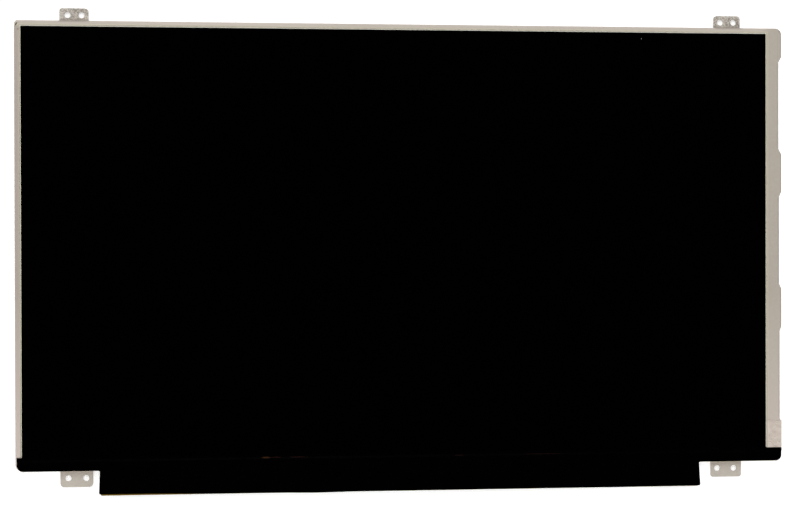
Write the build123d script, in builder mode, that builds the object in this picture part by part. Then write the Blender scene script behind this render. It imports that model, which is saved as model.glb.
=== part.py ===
"""Slim notebook screen panel of the 15.6-inch class, lying on its back with the display face up.

X runs across the screen, Y towards its top edge and Z out of the display face. The back of the
rear cover is Z = 0, and the origin is the middle of the overall outline. Lengths are in millimetres.
"""
import os

from build123d import *

os.makedirs("parts", exist_ok=True)

# Display area and the films and glass around it
ACTIVE_WIDTH = 344.23
ACTIVE_HEIGHT = 193.54
POLARISER_MARGIN = 2.3
GLASS_LIP = 0.45
GLASS_FIT = 0.1
BOND_LEDGE = 2.55
WINDOW_MARGIN = 0.95

# Frame rails, from the outer edge to the opening that holds the glass
LEFT_RAIL = 2.4
RIGHT_RAIL = 7.17
TOP_RAIL = 2.1
BOTTOM_RAIL = 1.25
CHIP_ROOM = 1.31

# Frame outline: corners, and the lugs between three recesses in the right edge
CORNER_TOP_RIGHT = 3.0
CORNER_BOTTOM_RIGHT = 2.8
CORNER_BOTTOM_LEFT = 3.5
CORNER_CUT_TOP_LEFT = 1.0
FRONT_EDGE_RADIUS = 0.45
TOP_LUG = 16.2
BOTTOM_LUG = 20.55
RECESS_LENGTH = 41.2
RECESS_DEPTH = 1.6
UPPER_RECESS_LIP = 1.4
MIDDLE_RECESS_LIP = 1.1
LOWER_RECESS_LIP = 0.8
RECESS_RAMP = 2.6
RECESS_COUNT = 3
MARK_LENGTH = 1.6
MARK_WIDTH = 0.6
MARK_DEPTH = 0.5
MARK_LEFT_INSET = 1.02
MARK_TOP_INSET = 1.82
MARK_TURN = 56

# Coring under the wide right rail, and the stakes that hold the rear cover
CORE_WALL = 0.9
CORE_RIB = 1.2
CORE_DEPTH = 2.1
CORES_PER_RECESS = 4
STAKE_RADIUS = 1.1
STAKE_FIT = 0.05

# Thicknesses of the stack, from the back to the front
COVER_T = 0.3
EMBOSS = 0.2
REFLECTOR_T = 0.2
GUIDE_T = 0.7
DIFFUSER_T = 0.1
PRISM_T = 0.15
SHEET_PLAY = 0.05
LEDGE_T = 0.4
RIM_TAPE_T = 0.1
POLARISER_T = 0.2
GLASS_T = 0.4

# Rear cover: plain band round a raised field, folded flanges with snap windows
COVER_BAND = 9.0
FIELD_CORNER = 6.0
FLANGE_HEIGHT = 2.2
BEND_RADIUS = 0.25
COVER_FIT = 0.05
COVER_FOOT = 0.3
FLANGE_RELIEF = 3.0
SNAP_LENGTH = 6.0
SNAP_HEIGHT = 0.8
SNAP_FIT = 0.1
SNAP_Z = 1.3
SNAPS_LEFT = 4
SNAPS_TOP = 5
SNAP_PITCH_LEFT = 44.0
SNAP_PITCH_TOP = 64.0

# Backlight sheets and their locating tabs on the right side
REFLECTOR_INSET = 0.3
GUIDE_INSET = 0.4
SHEET_INSET = 0.6
TAB_WIDTH = 6.0
TAB_REACH = 0.9
TAB_CLEARANCE = 0.3
TAB_PITCH = 96.0

# Light bar
LED_LENGTH = 3.0
LED_DEPTH = 1.0
LED_PITCH = 7.6
LED_WALL_GAP = 1.9
LED_GUIDE_GAP = 0.1
FLEX_T = 0.12
FLEX_LAP = 0.8
FLEX_WALL_GAP = 0.3
FLEX_END_GAP = 3.0
SHEET_FLEX_GAP = 0.2
TAIL_WIDTH = 6.0
TAIL_CLEARANCE = 0.3
TAIL_REACH = 6.4
TAIL_LAND = 2.8
TAIL_FLAT = 0.8

# Mounting ears
EAR_T = 0.5
EAR_HOLE_RADIUS = 1.37
EAR_KEY = 1.2
EAR_KEY_DEPTH = 0.55
EAR_NECK = 0.5
EAR_FIT = 0.05
EAR_HOLE_SHIFT = 0.23
TOP_EAR_REACH = 6.0
TOP_EAR_LEFT_WIDTH = 13.25
TOP_EAR_RIGHT_WIDTH = 12.85
TOP_EAR_HOLE_PITCH = 6.35
TOP_EAR_HOLE_OUT = 2.9
TOP_EAR_LEFT_INSET = 26.72
TOP_EAR_RIGHT_INSET = 25.9
BOTTOM_EAR_REACH = 7.65
BOTTOM_EAR_WIDTH = 14.9
BOTTOM_EAR_HOLE_PITCH = 8.05
BOTTOM_EAR_HOLE_OUT = 3.55
BOTTOM_EAR_LEFT_INSET = 27.32
BOTTOM_EAR_RIGHT_INSET = 26.47
EAR_CORNER_SMALL = 1.1
EAR_CORNER_MIDDLE = 1.6
EAR_CORNER_LARGE = 1.8

# Driver board below the bottom rail and the films that join it to the glass
BOARD_DROP = 11.45
BOARD_LAP = 0.55
BOARD_T = 0.6
BOARD_LEFT_INSET = 38.25
BOARD_RIGHT_INSET = 40.5
BOARD_SEAT_FIT = 0.3
BOARD_CORNER = 0.8
TOOLING_HOLE_RADIUS = 0.8
TOOLING_HOLE_INSET = 4.0
FILM_T = 0.05
FILM_WIDTH = 38.0
FILM_END_INSET = 56.0
FILM_BOND = 1.3
FILM_LAND = 3.0
SOURCE_CHIP_LENGTH = 17.0
SOURCE_CHIP_WIDTH = 1.1
SOURCE_CHIP_T = 0.35

# Black cover tape and pale side tape
TAPE_T = 0.08
TAPE_LAP = 0.94
TAPE_LEFT_INSET = 0.55
FLAP_OVERHANG = 0.25
FLAP_FLARE_LEFT = 0.4
FLAP_FLARE_RIGHT = 0.7
FLAP_CORNER = 0.7
BOARD_SHOWN_LEFT = 0.35
BOARD_SHOWN_RIGHT = 0.1
PATCH_T = 0.05
PATCH_LENGTH = 12.8

# Parts on the back of the board, each placed from the board's right end
CONTROLLER_SIZE = 9.0
CONTROLLER_T = 0.85
CONTROLLER_AT = 146.0
CONVERTER_SIZE = 5.0
CONVERTER_AT = 98.0
BACKLIGHT_DRIVER_SIZE = 4.0
BACKLIGHT_DRIVER_AT = 70.0
CHIP_T = 0.8
CHIP_EDGE = 0.12
PIN_MARK_RADIUS = 0.3
PIN_MARK_DEPTH = 0.06
MEMORY_WIDTH = 3.0
MEMORY_LENGTH = 4.4
MEMORY_AT = 131.0
INDUCTOR_SIZE = 4.6
INDUCTOR_T = 1.2
INDUCTOR_EDGE = 0.9
BACKLIGHT_INDUCTOR_AT = 79.0
POWER_INDUCTOR_AT = 108.0
TAIL_AT = 58.0
CAPACITOR_LENGTH = 1.6
CAPACITOR_WIDTH = 0.8
CAPACITOR_T = 0.7
BACKLIGHT_CAPACITORS_AT = 88.5
POWER_CAPACITORS_AT = 118.5
CONTROLLER_CAPACITORS_AT = 160.0
CAPACITOR_PITCH_X = 2.6
CAPACITOR_PITCH_Y = 2.4
RESISTOR_LENGTH = 1.0
RESISTOR_WIDTH = 0.5
RESISTOR_T = 0.35
NEAR_RESISTORS_AT = 172.0
FAR_RESISTORS_AT = 182.0
RESISTOR_PITCH_X = 1.9
RESISTOR_PITCH_Y = 1.7

# Cable socket of the display
CONTACT_COUNT = 40
CONTACT_PITCH = 0.5
CONTACT_WIDTH = 0.22
CONTACT_T = 0.12
CONTACT_FIT = 0.01
CONTACT_INSET = 0.4
CONTACT_TAIL = 0.8
SOCKET_AT = 34.0
SOCKET_END = 2.4
SOCKET_DEPTH = 3.8
SOCKET_T = 1.1
SOCKET_WALL = 0.3
SOCKET_EDGE_GAP = 0.5
MOUTH_DEPTH = 2.6
MOUTH_END = 0.7
SHELL_T = 0.15
SHELL_FIT = 0.03
SHELL_DEPTH = 3.0

# Levels along Z
REFLECTOR_Z = COVER_T + EMBOSS
GUIDE_Z = REFLECTOR_Z + REFLECTOR_T
LOWER_DIFFUSER_Z = GUIDE_Z + GUIDE_T
LOWER_PRISM_Z = LOWER_DIFFUSER_Z + DIFFUSER_T
UPPER_PRISM_Z = LOWER_PRISM_Z + PRISM_T
UPPER_DIFFUSER_Z = UPPER_PRISM_Z + PRISM_T
LEDGE_Z = max(UPPER_DIFFUSER_Z + DIFFUSER_T, LOWER_DIFFUSER_Z + FLEX_T) + SHEET_PLAY
LEDGE_TOP = LEDGE_Z + LEDGE_T
REAR_POLARISER_Z = LEDGE_TOP + RIM_TAPE_T
ARRAY_Z = REAR_POLARISER_Z + POLARISER_T
FILTER_Z = ARRAY_Z + GLASS_T
FRONT_POLARISER_Z = FILTER_Z + GLASS_T
FRONT_Z = FRONT_POLARISER_Z + POLARISER_T
BOARD_Z = FILTER_Z - BOARD_T
LOW_Z = FILTER_Z + FILM_T

# Outline of the frame, with the origin in the middle of ears, frame and board
GLASS_BORDER = GLASS_FIT + GLASS_LIP + POLARISER_MARGIN
FRAME_WIDTH = LEFT_RAIL + RIGHT_RAIL + 2 * GLASS_BORDER + ACTIVE_WIDTH
FOOT_BORDER = BOTTOM_RAIL + CHIP_ROOM + BOND_LEDGE + GLASS_LIP + POLARISER_MARGIN
FRAME_HEIGHT = TOP_RAIL + GLASS_BORDER + ACTIVE_HEIGHT + FOOT_BORDER
LEFT = -FRAME_WIDTH / 2
RIGHT = FRAME_WIDTH / 2
BOTTOM = (BOARD_DROP - TOP_EAR_REACH - FRAME_HEIGHT) / 2
TOP = BOTTOM + FRAME_HEIGHT

# Opening for the glass, the display area and the films' lower edges
OPEN_LEFT = LEFT + LEFT_RAIL
OPEN_RIGHT = RIGHT - RIGHT_RAIL
OPEN_BOTTOM = BOTTOM + BOTTOM_RAIL
OPEN_TOP = TOP - TOP_RAIL
ACTIVE_LEFT = OPEN_LEFT + GLASS_BORDER
ACTIVE_RIGHT = OPEN_RIGHT - GLASS_BORDER
ACTIVE_TOP = OPEN_TOP - GLASS_BORDER
ACTIVE_BOTTOM = ACTIVE_TOP - ACTIVE_HEIGHT
POLARISER_BOTTOM = ACTIVE_BOTTOM - POLARISER_MARGIN
FILTER_BOTTOM = POLARISER_BOTTOM - GLASS_LIP
ARRAY_BOTTOM = FILTER_BOTTOM - BOND_LEDGE

# Light bar across the lower edge of the light guide
LED_BACK = OPEN_BOTTOM + LED_WALL_GAP
GUIDE_BOTTOM = LED_BACK + LED_DEPTH + LED_GUIDE_GAP
FLEX_BOTTOM = OPEN_BOTTOM + FLEX_WALL_GAP
FLEX_TOP = GUIDE_BOTTOM + FLEX_LAP

# Drape of the black tape from the polariser over the glass edge to the board's level
TAPE_TOP = POLARISER_BOTTOM + TAPE_LAP
DRAPE_HEAD = POLARISER_BOTTOM - GLASS_FIT / 2
DRAPE_RUN = (FRONT_Z - LOW_Z) * (GLASS_LIP + GLASS_FIT) / POLARISER_T
DRAPE_FOOT = DRAPE_HEAD - DRAPE_RUN

# Board outline and the middle line of the parts on it
BOARD_LEFT = LEFT + BOARD_LEFT_INSET
BOARD_RIGHT = RIGHT - BOARD_RIGHT_INSET
BOARD_TOP = BOTTOM + BOARD_LAP
BOARD_BOTTOM = BOTTOM - BOARD_DROP
PART_Y = (BOTTOM + BOARD_BOTTOM) / 2
TAIL_X = BOARD_RIGHT - TAIL_AT

# Recesses of the right edge: pitch, and the middle of each lug that carries a stake
RECESS_PITCH = (FRAME_HEIGHT - TOP_LUG - BOTTOM_LUG - RECESS_LENGTH) / (RECESS_COUNT - 1)
RECESS_TOPS = [TOP - TOP_LUG - RECESS_PITCH * i for i in range(RECESS_COUNT)]
STAKE_X = (OPEN_RIGHT + TAB_REACH + TAB_CLEARANCE + RIGHT - RECESS_DEPTH) / 2
STAKE_YS = [TOP - TOP_LUG / 2]
STAKE_YS += [top - (RECESS_LENGTH + RECESS_PITCH) / 2 for top in RECESS_TOPS[:-1]]
STAKE_YS += [BOTTOM + BOTTOM_LUG / 2]
TAB_Y = (OPEN_TOP + GUIDE_BOTTOM) / 2

# Rear cover outline; its right flange lies on the floors of the recesses
COVER_RIGHT = RIGHT - RECESS_DEPTH + COVER_FIT + COVER_T
COVER_BOTTOM = BOTTOM + COVER_FOOT


def field(left, right, bottom, top, mode=Mode.ADD):
    """Rectangle between two X and two Y limits, added to the sketch in hand."""
    with Locations(((left + right) / 2, (bottom + top) / 2)):
        Rectangle(right - left, top - bottom, mode=mode)


def finish(builder, label):
    """Name a finished piece and write it as its own file."""
    builder.part.label = label
    export_step(builder.part, f"parts/{label}.step")


def strip_profile(points, thickness):
    """Closed face of a thin strip in the YZ plane, its lower line given, its thickness along Z."""
    upper = [(y, z + thickness) for y, z in reversed(points)]
    with BuildLine() as edge:
        Polyline(*points, *upper, close=True)
    make_face(edge.edges())


def backlight_sheet(label, z, thickness, inset, bottom, tabs=True):
    """One flat layer of the backlight, with tabs on its right side that key into the frame."""
    with BuildPart() as layer:
        with BuildSketch(Plane.XY.offset(z)):
            field(OPEN_LEFT + inset, OPEN_RIGHT - inset, bottom, OPEN_TOP - inset)
            if tabs:
                for y in (TAB_Y - TAB_PITCH / 2, TAB_Y + TAB_PITCH / 2):
                    tab_root = OPEN_RIGHT - inset - TAB_REACH
                    field(tab_root, OPEN_RIGHT + TAB_REACH, y - TAB_WIDTH / 2, y + TAB_WIDTH / 2)
        extrude(amount=thickness)
    finish(layer, label)


def cell_layer(label, z, thickness, margin, bottom):
    """One flat layer of the display cell, a margin larger than the active area on three sides."""
    with BuildPart() as layer:
        with BuildSketch(Plane.XY.offset(z)):
            field(ACTIVE_LEFT - margin, ACTIVE_RIGHT + margin, bottom, ACTIVE_TOP + margin)
        extrude(amount=thickness)
    finish(layer, label)


def frame_outline(sketch):
    """Outer edge of the frame without its recesses, drawn in the given sketch."""
    field(LEFT, RIGHT, BOTTOM, TOP)
    fillet(sketch.vertices().sort_by_distance((RIGHT, TOP, 0))[0], CORNER_TOP_RIGHT)
    fillet(sketch.vertices().sort_by_distance((RIGHT, BOTTOM, 0))[0], CORNER_BOTTOM_RIGHT)
    fillet(sketch.vertices().sort_by_distance((LEFT, BOTTOM, 0))[0], CORNER_BOTTOM_LEFT)
    chamfer(sketch.vertices().sort_by_distance((LEFT, TOP, 0))[0], CORNER_CUT_TOP_LEFT)


def ear_outline(x, edge, out, width, reach, fit=0.0):
    """Ear with a wider key behind its neck; edge is the rail's edge and out its outward Y sign."""
    with Locations((x, edge + out * (reach - EAR_NECK) / 2)):
        Rectangle(width + 2 * fit, reach + EAR_NECK)
    with Locations((x, edge - out * (EAR_NECK + EAR_KEY_DEPTH / 2))):
        Rectangle(width + 2 * EAR_KEY + 2 * fit, EAR_KEY_DEPTH + 2 * fit)


def ear(label, x, edge, out, width, reach, hole_out, hole_pitch, hole_shift, left_corner, right_corner):
    """Stamped ear with two screw holes outside the frame."""
    with BuildPart() as plate:
        with BuildSketch(Plane.XY.offset(COVER_T)) as outline:
            ear_outline(x, edge, out, width, reach)
            tip = edge + out * reach
            left_end = outline.vertices().sort_by_distance((x - width / 2, tip, 0))[0]
            fillet(left_end, min(left_corner, width / 4))
            right_end = outline.vertices().sort_by_distance((x + width / 2, tip, 0))[0]
            fillet(right_end, min(right_corner, width / 4))
        extrude(amount=EAR_T)
        with Locations((x + hole_shift, edge + out * hole_out, COVER_T)):
            with GridLocations(hole_pitch, 0, 2, 1):
                Hole(EAR_HOLE_RADIUS)
    finish(plate, label)


def board_chip(label, station, width, length, thickness):
    """Moulded chip on the back of the board, with eased edges and a round pin mark."""
    x = BOARD_RIGHT - station
    with BuildPart() as chip:
        with Locations((x, PART_Y, BOARD_Z)):
            Box(width, length, thickness, align=(Align.CENTER, Align.CENTER, Align.MAX))
        back = chip.faces().sort_by(Axis.Z)[0]
        chamfer(back.edges(), CHIP_EDGE)
        mark = (x + width / 2 - 3 * PIN_MARK_RADIUS, PART_Y - length / 2 + 3 * PIN_MARK_RADIUS)
        with BuildSketch(Plane.XY.offset(BOARD_Z - thickness)):
            with Locations(mark):
                Circle(PIN_MARK_RADIUS)
        extrude(amount=PIN_MARK_DEPTH, mode=Mode.SUBTRACT)
    finish(chip, label)


def small_parts(label, stations, length, width, thickness, pitch_x, pitch_y, columns, rows):
    """Grids of small brick-shaped parts on the back of the board, one solid each."""
    with BuildPart() as group:
        for station in stations:
            with Locations((BOARD_RIGHT - station, PART_Y, BOARD_Z)):
                with GridLocations(pitch_x, pitch_y, columns, rows):
                    Box(width, length, thickness, align=(Align.CENTER, Align.CENTER, Align.MAX))
    finish(group, label)


# Ears: middle in X, edge of the rail, outward sign, sizes, shift of the holes, corners at the tip
TOP_EAR_HOLES = (TOP_EAR_HOLE_OUT, TOP_EAR_HOLE_PITCH)
BOTTOM_EAR_HOLES = (BOTTOM_EAR_HOLE_OUT, BOTTOM_EAR_HOLE_PITCH)
TOP_LEFT_EAR = (TOP, 1, TOP_EAR_LEFT_WIDTH, TOP_EAR_REACH, *TOP_EAR_HOLES, EAR_HOLE_SHIFT)
TOP_RIGHT_EAR = (TOP, 1, TOP_EAR_RIGHT_WIDTH, TOP_EAR_REACH, *TOP_EAR_HOLES, 0)
BOTTOM_EAR = (BOTTOM, -1, BOTTOM_EAR_WIDTH, BOTTOM_EAR_REACH, *BOTTOM_EAR_HOLES)
TOP_EAR_XS = (LEFT + TOP_EAR_LEFT_INSET, RIGHT - TOP_EAR_RIGHT_INSET)
BOTTOM_EAR_XS = (LEFT + BOTTOM_EAR_LEFT_INSET, RIGHT - BOTTOM_EAR_RIGHT_INSET)
EARS = {
    "ear_top_left": (TOP_EAR_XS[0], *TOP_LEFT_EAR, EAR_CORNER_SMALL, EAR_CORNER_LARGE),
    "ear_top_right": (TOP_EAR_XS[1], *TOP_RIGHT_EAR, EAR_CORNER_MIDDLE, EAR_CORNER_MIDDLE),
    "ear_bottom_left": (
        BOTTOM_EAR_XS[0], *BOTTOM_EAR, EAR_HOLE_SHIFT, EAR_CORNER_LARGE, EAR_CORNER_LARGE,
    ),
    "ear_bottom_right": (
        BOTTOM_EAR_XS[1], *BOTTOM_EAR, -EAR_HOLE_SHIFT, EAR_CORNER_SMALL, EAR_CORNER_SMALL,
    ),
}
for name, sizes in EARS.items():
    ear(name, *sizes)

# Snap positions along the left and top flanges, and one in the middle of each recess
FLANGE_MID_Y = (TOP + COVER_BOTTOM) / 2
LEFT_SNAPS = [FLANGE_MID_Y + SNAP_PITCH_LEFT * (i - (SNAPS_LEFT - 1) / 2) for i in range(SNAPS_LEFT)]
TOP_SNAPS = [SNAP_PITCH_TOP * (i - (SNAPS_TOP - 1) / 2) for i in range(SNAPS_TOP)]
RIGHT_SNAPS = [top - RECESS_LENGTH / 2 for top in RECESS_TOPS]
FLANGE_REBATE = COVER_T + COVER_FIT


def snap_sketch(grow):
    """Snap rectangles seen from above, through the flanges on the left, top and right."""
    half = SNAP_LENGTH / 2 + grow
    for y in LEFT_SNAPS:
        field(LEFT, LEFT + FLANGE_REBATE, y - half, y + half)
    for x in TOP_SNAPS:
        field(x - half, x + half, TOP - FLANGE_REBATE, TOP)
    for y in RIGHT_SNAPS:
        field(COVER_RIGHT - FLANGE_REBATE, COVER_RIGHT, y - half, y + half)


# Moulded frame
with BuildPart() as mould_frame:
    with BuildSketch(Plane.XY.offset(COVER_T)) as outline:
        frame_outline(outline)
        for top, lip in zip(RECESS_TOPS, (UPPER_RECESS_LIP, MIDDLE_RECESS_LIP, LOWER_RECESS_LIP)):
            floor = RIGHT - lip
            foot = top - RECESS_LENGTH
            with BuildLine():
                Polyline(
                    (RIGHT, top + RECESS_RAMP),
                    (floor, top),
                    (floor, foot),
                    (RIGHT, foot - RECESS_RAMP),
                    close=True,
                )
            make_face(mode=Mode.SUBTRACT)
    extrude(amount=FRONT_Z - COVER_T)
    front = mould_frame.faces().sort_by(Axis.Z)[-1]
    fillet(front.outer_wire().edges(), min(FRONT_EDGE_RADIUS, TOP_RAIL / 4))
    # Seat for the glass above the ledge, the window through it and the backlight bay below
    with BuildSketch(Plane.XY.offset(LEDGE_TOP)):
        field(OPEN_LEFT, OPEN_RIGHT, OPEN_BOTTOM, OPEN_TOP)
    extrude(amount=FRONT_Z - LEDGE_TOP, mode=Mode.SUBTRACT)
    with BuildSketch(Plane.XY.offset(LEDGE_Z)):
        field(
            ACTIVE_LEFT - WINDOW_MARGIN,
            ACTIVE_RIGHT + WINDOW_MARGIN,
            ACTIVE_BOTTOM - WINDOW_MARGIN,
            ACTIVE_TOP + WINDOW_MARGIN,
        )
    extrude(amount=LEDGE_T, mode=Mode.SUBTRACT)
    with BuildSketch(Plane.XY.offset(COVER_T)):
        field(OPEN_LEFT, OPEN_RIGHT, OPEN_BOTTOM, OPEN_TOP)
        for y in (TAB_Y - TAB_PITCH / 2, TAB_Y + TAB_PITCH / 2):
            half = TAB_WIDTH / 2 + TAB_CLEARANCE
            field(OPEN_RIGHT - TAB_REACH, OPEN_RIGHT + TAB_REACH + TAB_CLEARANCE, y - half, y + half)
    extrude(amount=LEDGE_Z - COVER_T, mode=Mode.SUBTRACT)
    # Bottom rail steps down to the board's level under the black tape, inside a thin left rim
    with BuildSketch(Plane.YZ.offset(LEFT + TAPE_LEFT_INSET)):
        with BuildLine():
            Polyline(
                (BOTTOM - BOTTOM_RAIL, LOW_Z),
                (DRAPE_FOOT, LOW_Z),
                (DRAPE_HEAD, FRONT_Z),
                (DRAPE_HEAD, FRONT_Z + TAPE_T),
                (BOTTOM - BOTTOM_RAIL, FRONT_Z + TAPE_T),
                close=True,
            )
        make_face()
    extrude(amount=FRAME_WIDTH, mode=Mode.SUBTRACT)
    # Seat for the board's upper edge, and the gap in the rail for the light bar's tail
    with BuildSketch(Plane.XY.offset(BOARD_Z)):
        field(BOARD_LEFT - BOARD_SEAT_FIT, BOARD_RIGHT + BOARD_SEAT_FIT, BOTTOM - BOTTOM_RAIL, OPEN_BOTTOM)
    extrude(amount=LOW_Z - BOARD_Z, mode=Mode.SUBTRACT)
    with BuildSketch(Plane.XY.offset(COVER_T)):
        half = TAIL_WIDTH / 2 + TAIL_CLEARANCE
        field(TAIL_X - half, TAIL_X + half, BOTTOM - BOTTOM_RAIL, OPEN_BOTTOM)
    extrude(amount=LEDGE_Z - COVER_T, mode=Mode.SUBTRACT)
    # Rebates for the cover's flanges, with snaps that stand in their windows
    with BuildSketch(Plane.XY.offset(COVER_T)):
        field(LEFT, LEFT + FLANGE_REBATE, BOTTOM, TOP)
        field(LEFT, RIGHT, TOP - FLANGE_REBATE, TOP)
        for top in RECESS_TOPS:
            field(RIGHT - RECESS_DEPTH, RIGHT, top - RECESS_LENGTH, top)
    extrude(amount=FLANGE_HEIGHT - COVER_T + COVER_FIT, mode=Mode.SUBTRACT)
    with BuildSketch(Plane.XY.offset(SNAP_Z - SNAP_HEIGHT / 2)):
        snap_sketch(0)
    extrude(amount=SNAP_HEIGHT)
    # Pockets for the keyed roots of the ears, open towards the rear cover
    with BuildSketch(Plane.XY.offset(COVER_T)):
        for x, edge, out, width, reach, *tip in EARS.values():
            ear_outline(x, edge, out, width, reach, EAR_FIT)
    extrude(amount=EAR_T + EAR_FIT, mode=Mode.SUBTRACT)
    # Coring under the right rail beside each recess, and stakes in the lugs between
    core_left = OPEN_RIGHT + TAB_REACH + TAB_CLEARANCE + CORE_WALL
    core_right = RIGHT - RECESS_DEPTH - CORE_WALL
    core_pitch = RECESS_LENGTH / CORES_PER_RECESS
    with BuildSketch(Plane.XY.offset(COVER_T)):
        for top in RECESS_TOPS:
            with Locations(((core_left + core_right) / 2, top - RECESS_LENGTH / 2)):
                with GridLocations(0, core_pitch, 1, CORES_PER_RECESS):
                    Rectangle(core_right - core_left, core_pitch - CORE_RIB)
    extrude(amount=CORE_DEPTH, mode=Mode.SUBTRACT)
    with BuildSketch():
        with Locations(*[(STAKE_X, y) for y in STAKE_YS]):
            Circle(STAKE_RADIUS)
    extrude(amount=COVER_T)
    # Slanted mark in the front of the upper left corner
    with BuildSketch(Plane.XY.offset(FRONT_Z - MARK_DEPTH)):
        with Locations((LEFT + MARK_LEFT_INSET, TOP - MARK_TOP_INSET)):
            SlotOverall(MARK_LENGTH, MARK_WIDTH, rotation=MARK_TURN)
    extrude(amount=MARK_DEPTH, mode=Mode.SUBTRACT)
finish(mould_frame, "mould_frame")

# Folded rear cover
with BuildPart() as rear_cover:
    with BuildSketch():
        field(LEFT, COVER_RIGHT, COVER_BOTTOM, TOP)
    extrude(amount=FLANGE_HEIGHT)
    rim = rear_cover.faces().sort_by(Axis.Z)[0].edges().sort_by(Axis.Y)[1:]
    fillet(rim, BEND_RADIUS)
    with BuildSketch(Plane.XY.offset(COVER_T)):
        field(LEFT + COVER_T, COVER_RIGHT - COVER_T, COVER_BOTTOM, TOP - COVER_T)
    extrude(amount=FLANGE_HEIGHT - COVER_T, mode=Mode.SUBTRACT)
    # Flange gaps at the open corners, at the foot, beside the ears and along the lugs
    with BuildSketch(Plane.XY.offset(COVER_T)):
        field(LEFT, LEFT + FLANGE_RELIEF, TOP - FLANGE_RELIEF, TOP)
        field(COVER_RIGHT - FLANGE_RELIEF, COVER_RIGHT, TOP - FLANGE_RELIEF, TOP)
        field(LEFT, LEFT + COVER_T, COVER_BOTTOM, COVER_BOTTOM + COVER_BAND)
        for x, width in zip(TOP_EAR_XS, (TOP_EAR_LEFT_WIDTH, TOP_EAR_RIGHT_WIDTH)):
            half = width / 2 + EAR_KEY + FLANGE_RELIEF / 2
            field(x - half, x + half, TOP - COVER_T, TOP)
        lug_tops = [TOP] + [top - RECESS_LENGTH + COVER_FIT for top in RECESS_TOPS]
        lug_feet = [top - COVER_FIT for top in RECESS_TOPS] + [COVER_BOTTOM]
        for top, foot in zip(lug_tops, lug_feet):
            field(COVER_RIGHT - COVER_T, COVER_RIGHT, foot, top)
    extrude(amount=FLANGE_HEIGHT - COVER_T, mode=Mode.SUBTRACT)
    # Pressed field inside the plain band, raised on the inside and sunk on the outside
    field_x = (LEFT + COVER_RIGHT) / 2
    field_y = (TOP + COVER_BOTTOM) / 2
    field_width = COVER_RIGHT - LEFT - 2 * COVER_BAND
    field_height = TOP - COVER_BOTTOM - 2 * COVER_BAND
    with BuildSketch(Plane.XY.offset(COVER_T)):
        with Locations((field_x, field_y)):
            RectangleRounded(field_width, field_height, FIELD_CORNER)
    extrude(amount=EMBOSS, taper=45)
    with BuildSketch():
        with Locations((field_x, field_y)):
            RectangleRounded(field_width - COVER_T, field_height - COVER_T, FIELD_CORNER)
    extrude(amount=EMBOSS, taper=45, mode=Mode.SUBTRACT)
    with BuildSketch(Plane.XY.offset(SNAP_Z - SNAP_HEIGHT / 2 - SNAP_FIT)):
        snap_sketch(SNAP_FIT)
    extrude(amount=SNAP_HEIGHT + 2 * SNAP_FIT, mode=Mode.SUBTRACT)
    with Locations(*[(STAKE_X, y, COVER_T) for y in STAKE_YS]):
        Hole(STAKE_RADIUS + STAKE_FIT)
    # Corners trimmed to the corners of the frame
    with BuildSketch() as outline:
        frame_outline(outline)
    extrude(amount=FLANGE_HEIGHT, mode=Mode.INTERSECT)
finish(rear_cover, "rear_cover")

# Backlight sheets, from the back to the front
SHEET_BOTTOM = FLEX_TOP + SHEET_FLEX_GAP
backlight_sheet("reflector_sheet", REFLECTOR_Z, REFLECTOR_T, REFLECTOR_INSET,
                OPEN_BOTTOM + REFLECTOR_INSET, tabs=False)
backlight_sheet("light_guide_plate", GUIDE_Z, GUIDE_T, GUIDE_INSET, GUIDE_BOTTOM)
backlight_sheet("lower_diffuser_sheet", LOWER_DIFFUSER_Z, DIFFUSER_T, SHEET_INSET, SHEET_BOTTOM)
backlight_sheet("lower_prism_sheet", LOWER_PRISM_Z, PRISM_T, SHEET_INSET, SHEET_BOTTOM)
backlight_sheet("upper_prism_sheet", UPPER_PRISM_Z, PRISM_T, SHEET_INSET, SHEET_BOTTOM)
backlight_sheet("upper_diffuser_sheet", UPPER_DIFFUSER_Z, DIFFUSER_T, SHEET_INSET, SHEET_BOTTOM)

# Display cell: two glass sheets between two polarisers
cell_layer("rear_polariser", REAR_POLARISER_Z, POLARISER_T, POLARISER_MARGIN, POLARISER_BOTTOM)
cell_layer("array_glass", ARRAY_Z, GLASS_T, POLARISER_MARGIN + GLASS_LIP, ARRAY_BOTTOM)
cell_layer("colour_filter_glass", FILTER_Z, GLASS_T, POLARISER_MARGIN + GLASS_LIP, FILTER_BOTTOM)
cell_layer("front_polariser", FRONT_POLARISER_Z, POLARISER_T, POLARISER_MARGIN, POLARISER_BOTTOM)

# Adhesive rim between the ledge and the rear polariser
with BuildPart() as rim_tape:
    with BuildSketch(Plane.XY.offset(LEDGE_TOP)):
        outer = POLARISER_MARGIN - GLASS_FIT
        inner = WINDOW_MARGIN + GLASS_FIT
        field(ACTIVE_LEFT - outer, ACTIVE_RIGHT + outer, ACTIVE_BOTTOM - outer, ACTIVE_TOP + outer)
        field(ACTIVE_LEFT - inner, ACTIVE_RIGHT + inner, ACTIVE_BOTTOM - inner, ACTIVE_TOP + inner,
              mode=Mode.SUBTRACT)
    extrude(amount=RIM_TAPE_T)
finish(rim_tape, "rim_tape")

# Light bar: lamps on the reflector, the flexible strip over them and its tail to the board
led_span = OPEN_RIGHT - OPEN_LEFT - 2 * FLEX_END_GAP - LED_LENGTH
led_count = int(led_span / LED_PITCH) + 1
led_x = (OPEN_LEFT + OPEN_RIGHT) / 2
with BuildPart() as light_bar_leds:
    with Locations((led_x, LED_BACK + LED_DEPTH / 2, GUIDE_Z)):
        with GridLocations(LED_PITCH, 0, led_count, 1):
            Box(LED_LENGTH, LED_DEPTH, GUIDE_T, align=(Align.CENTER, Align.CENTER, Align.MIN))
finish(light_bar_leds, "light_bar_leds")

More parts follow.
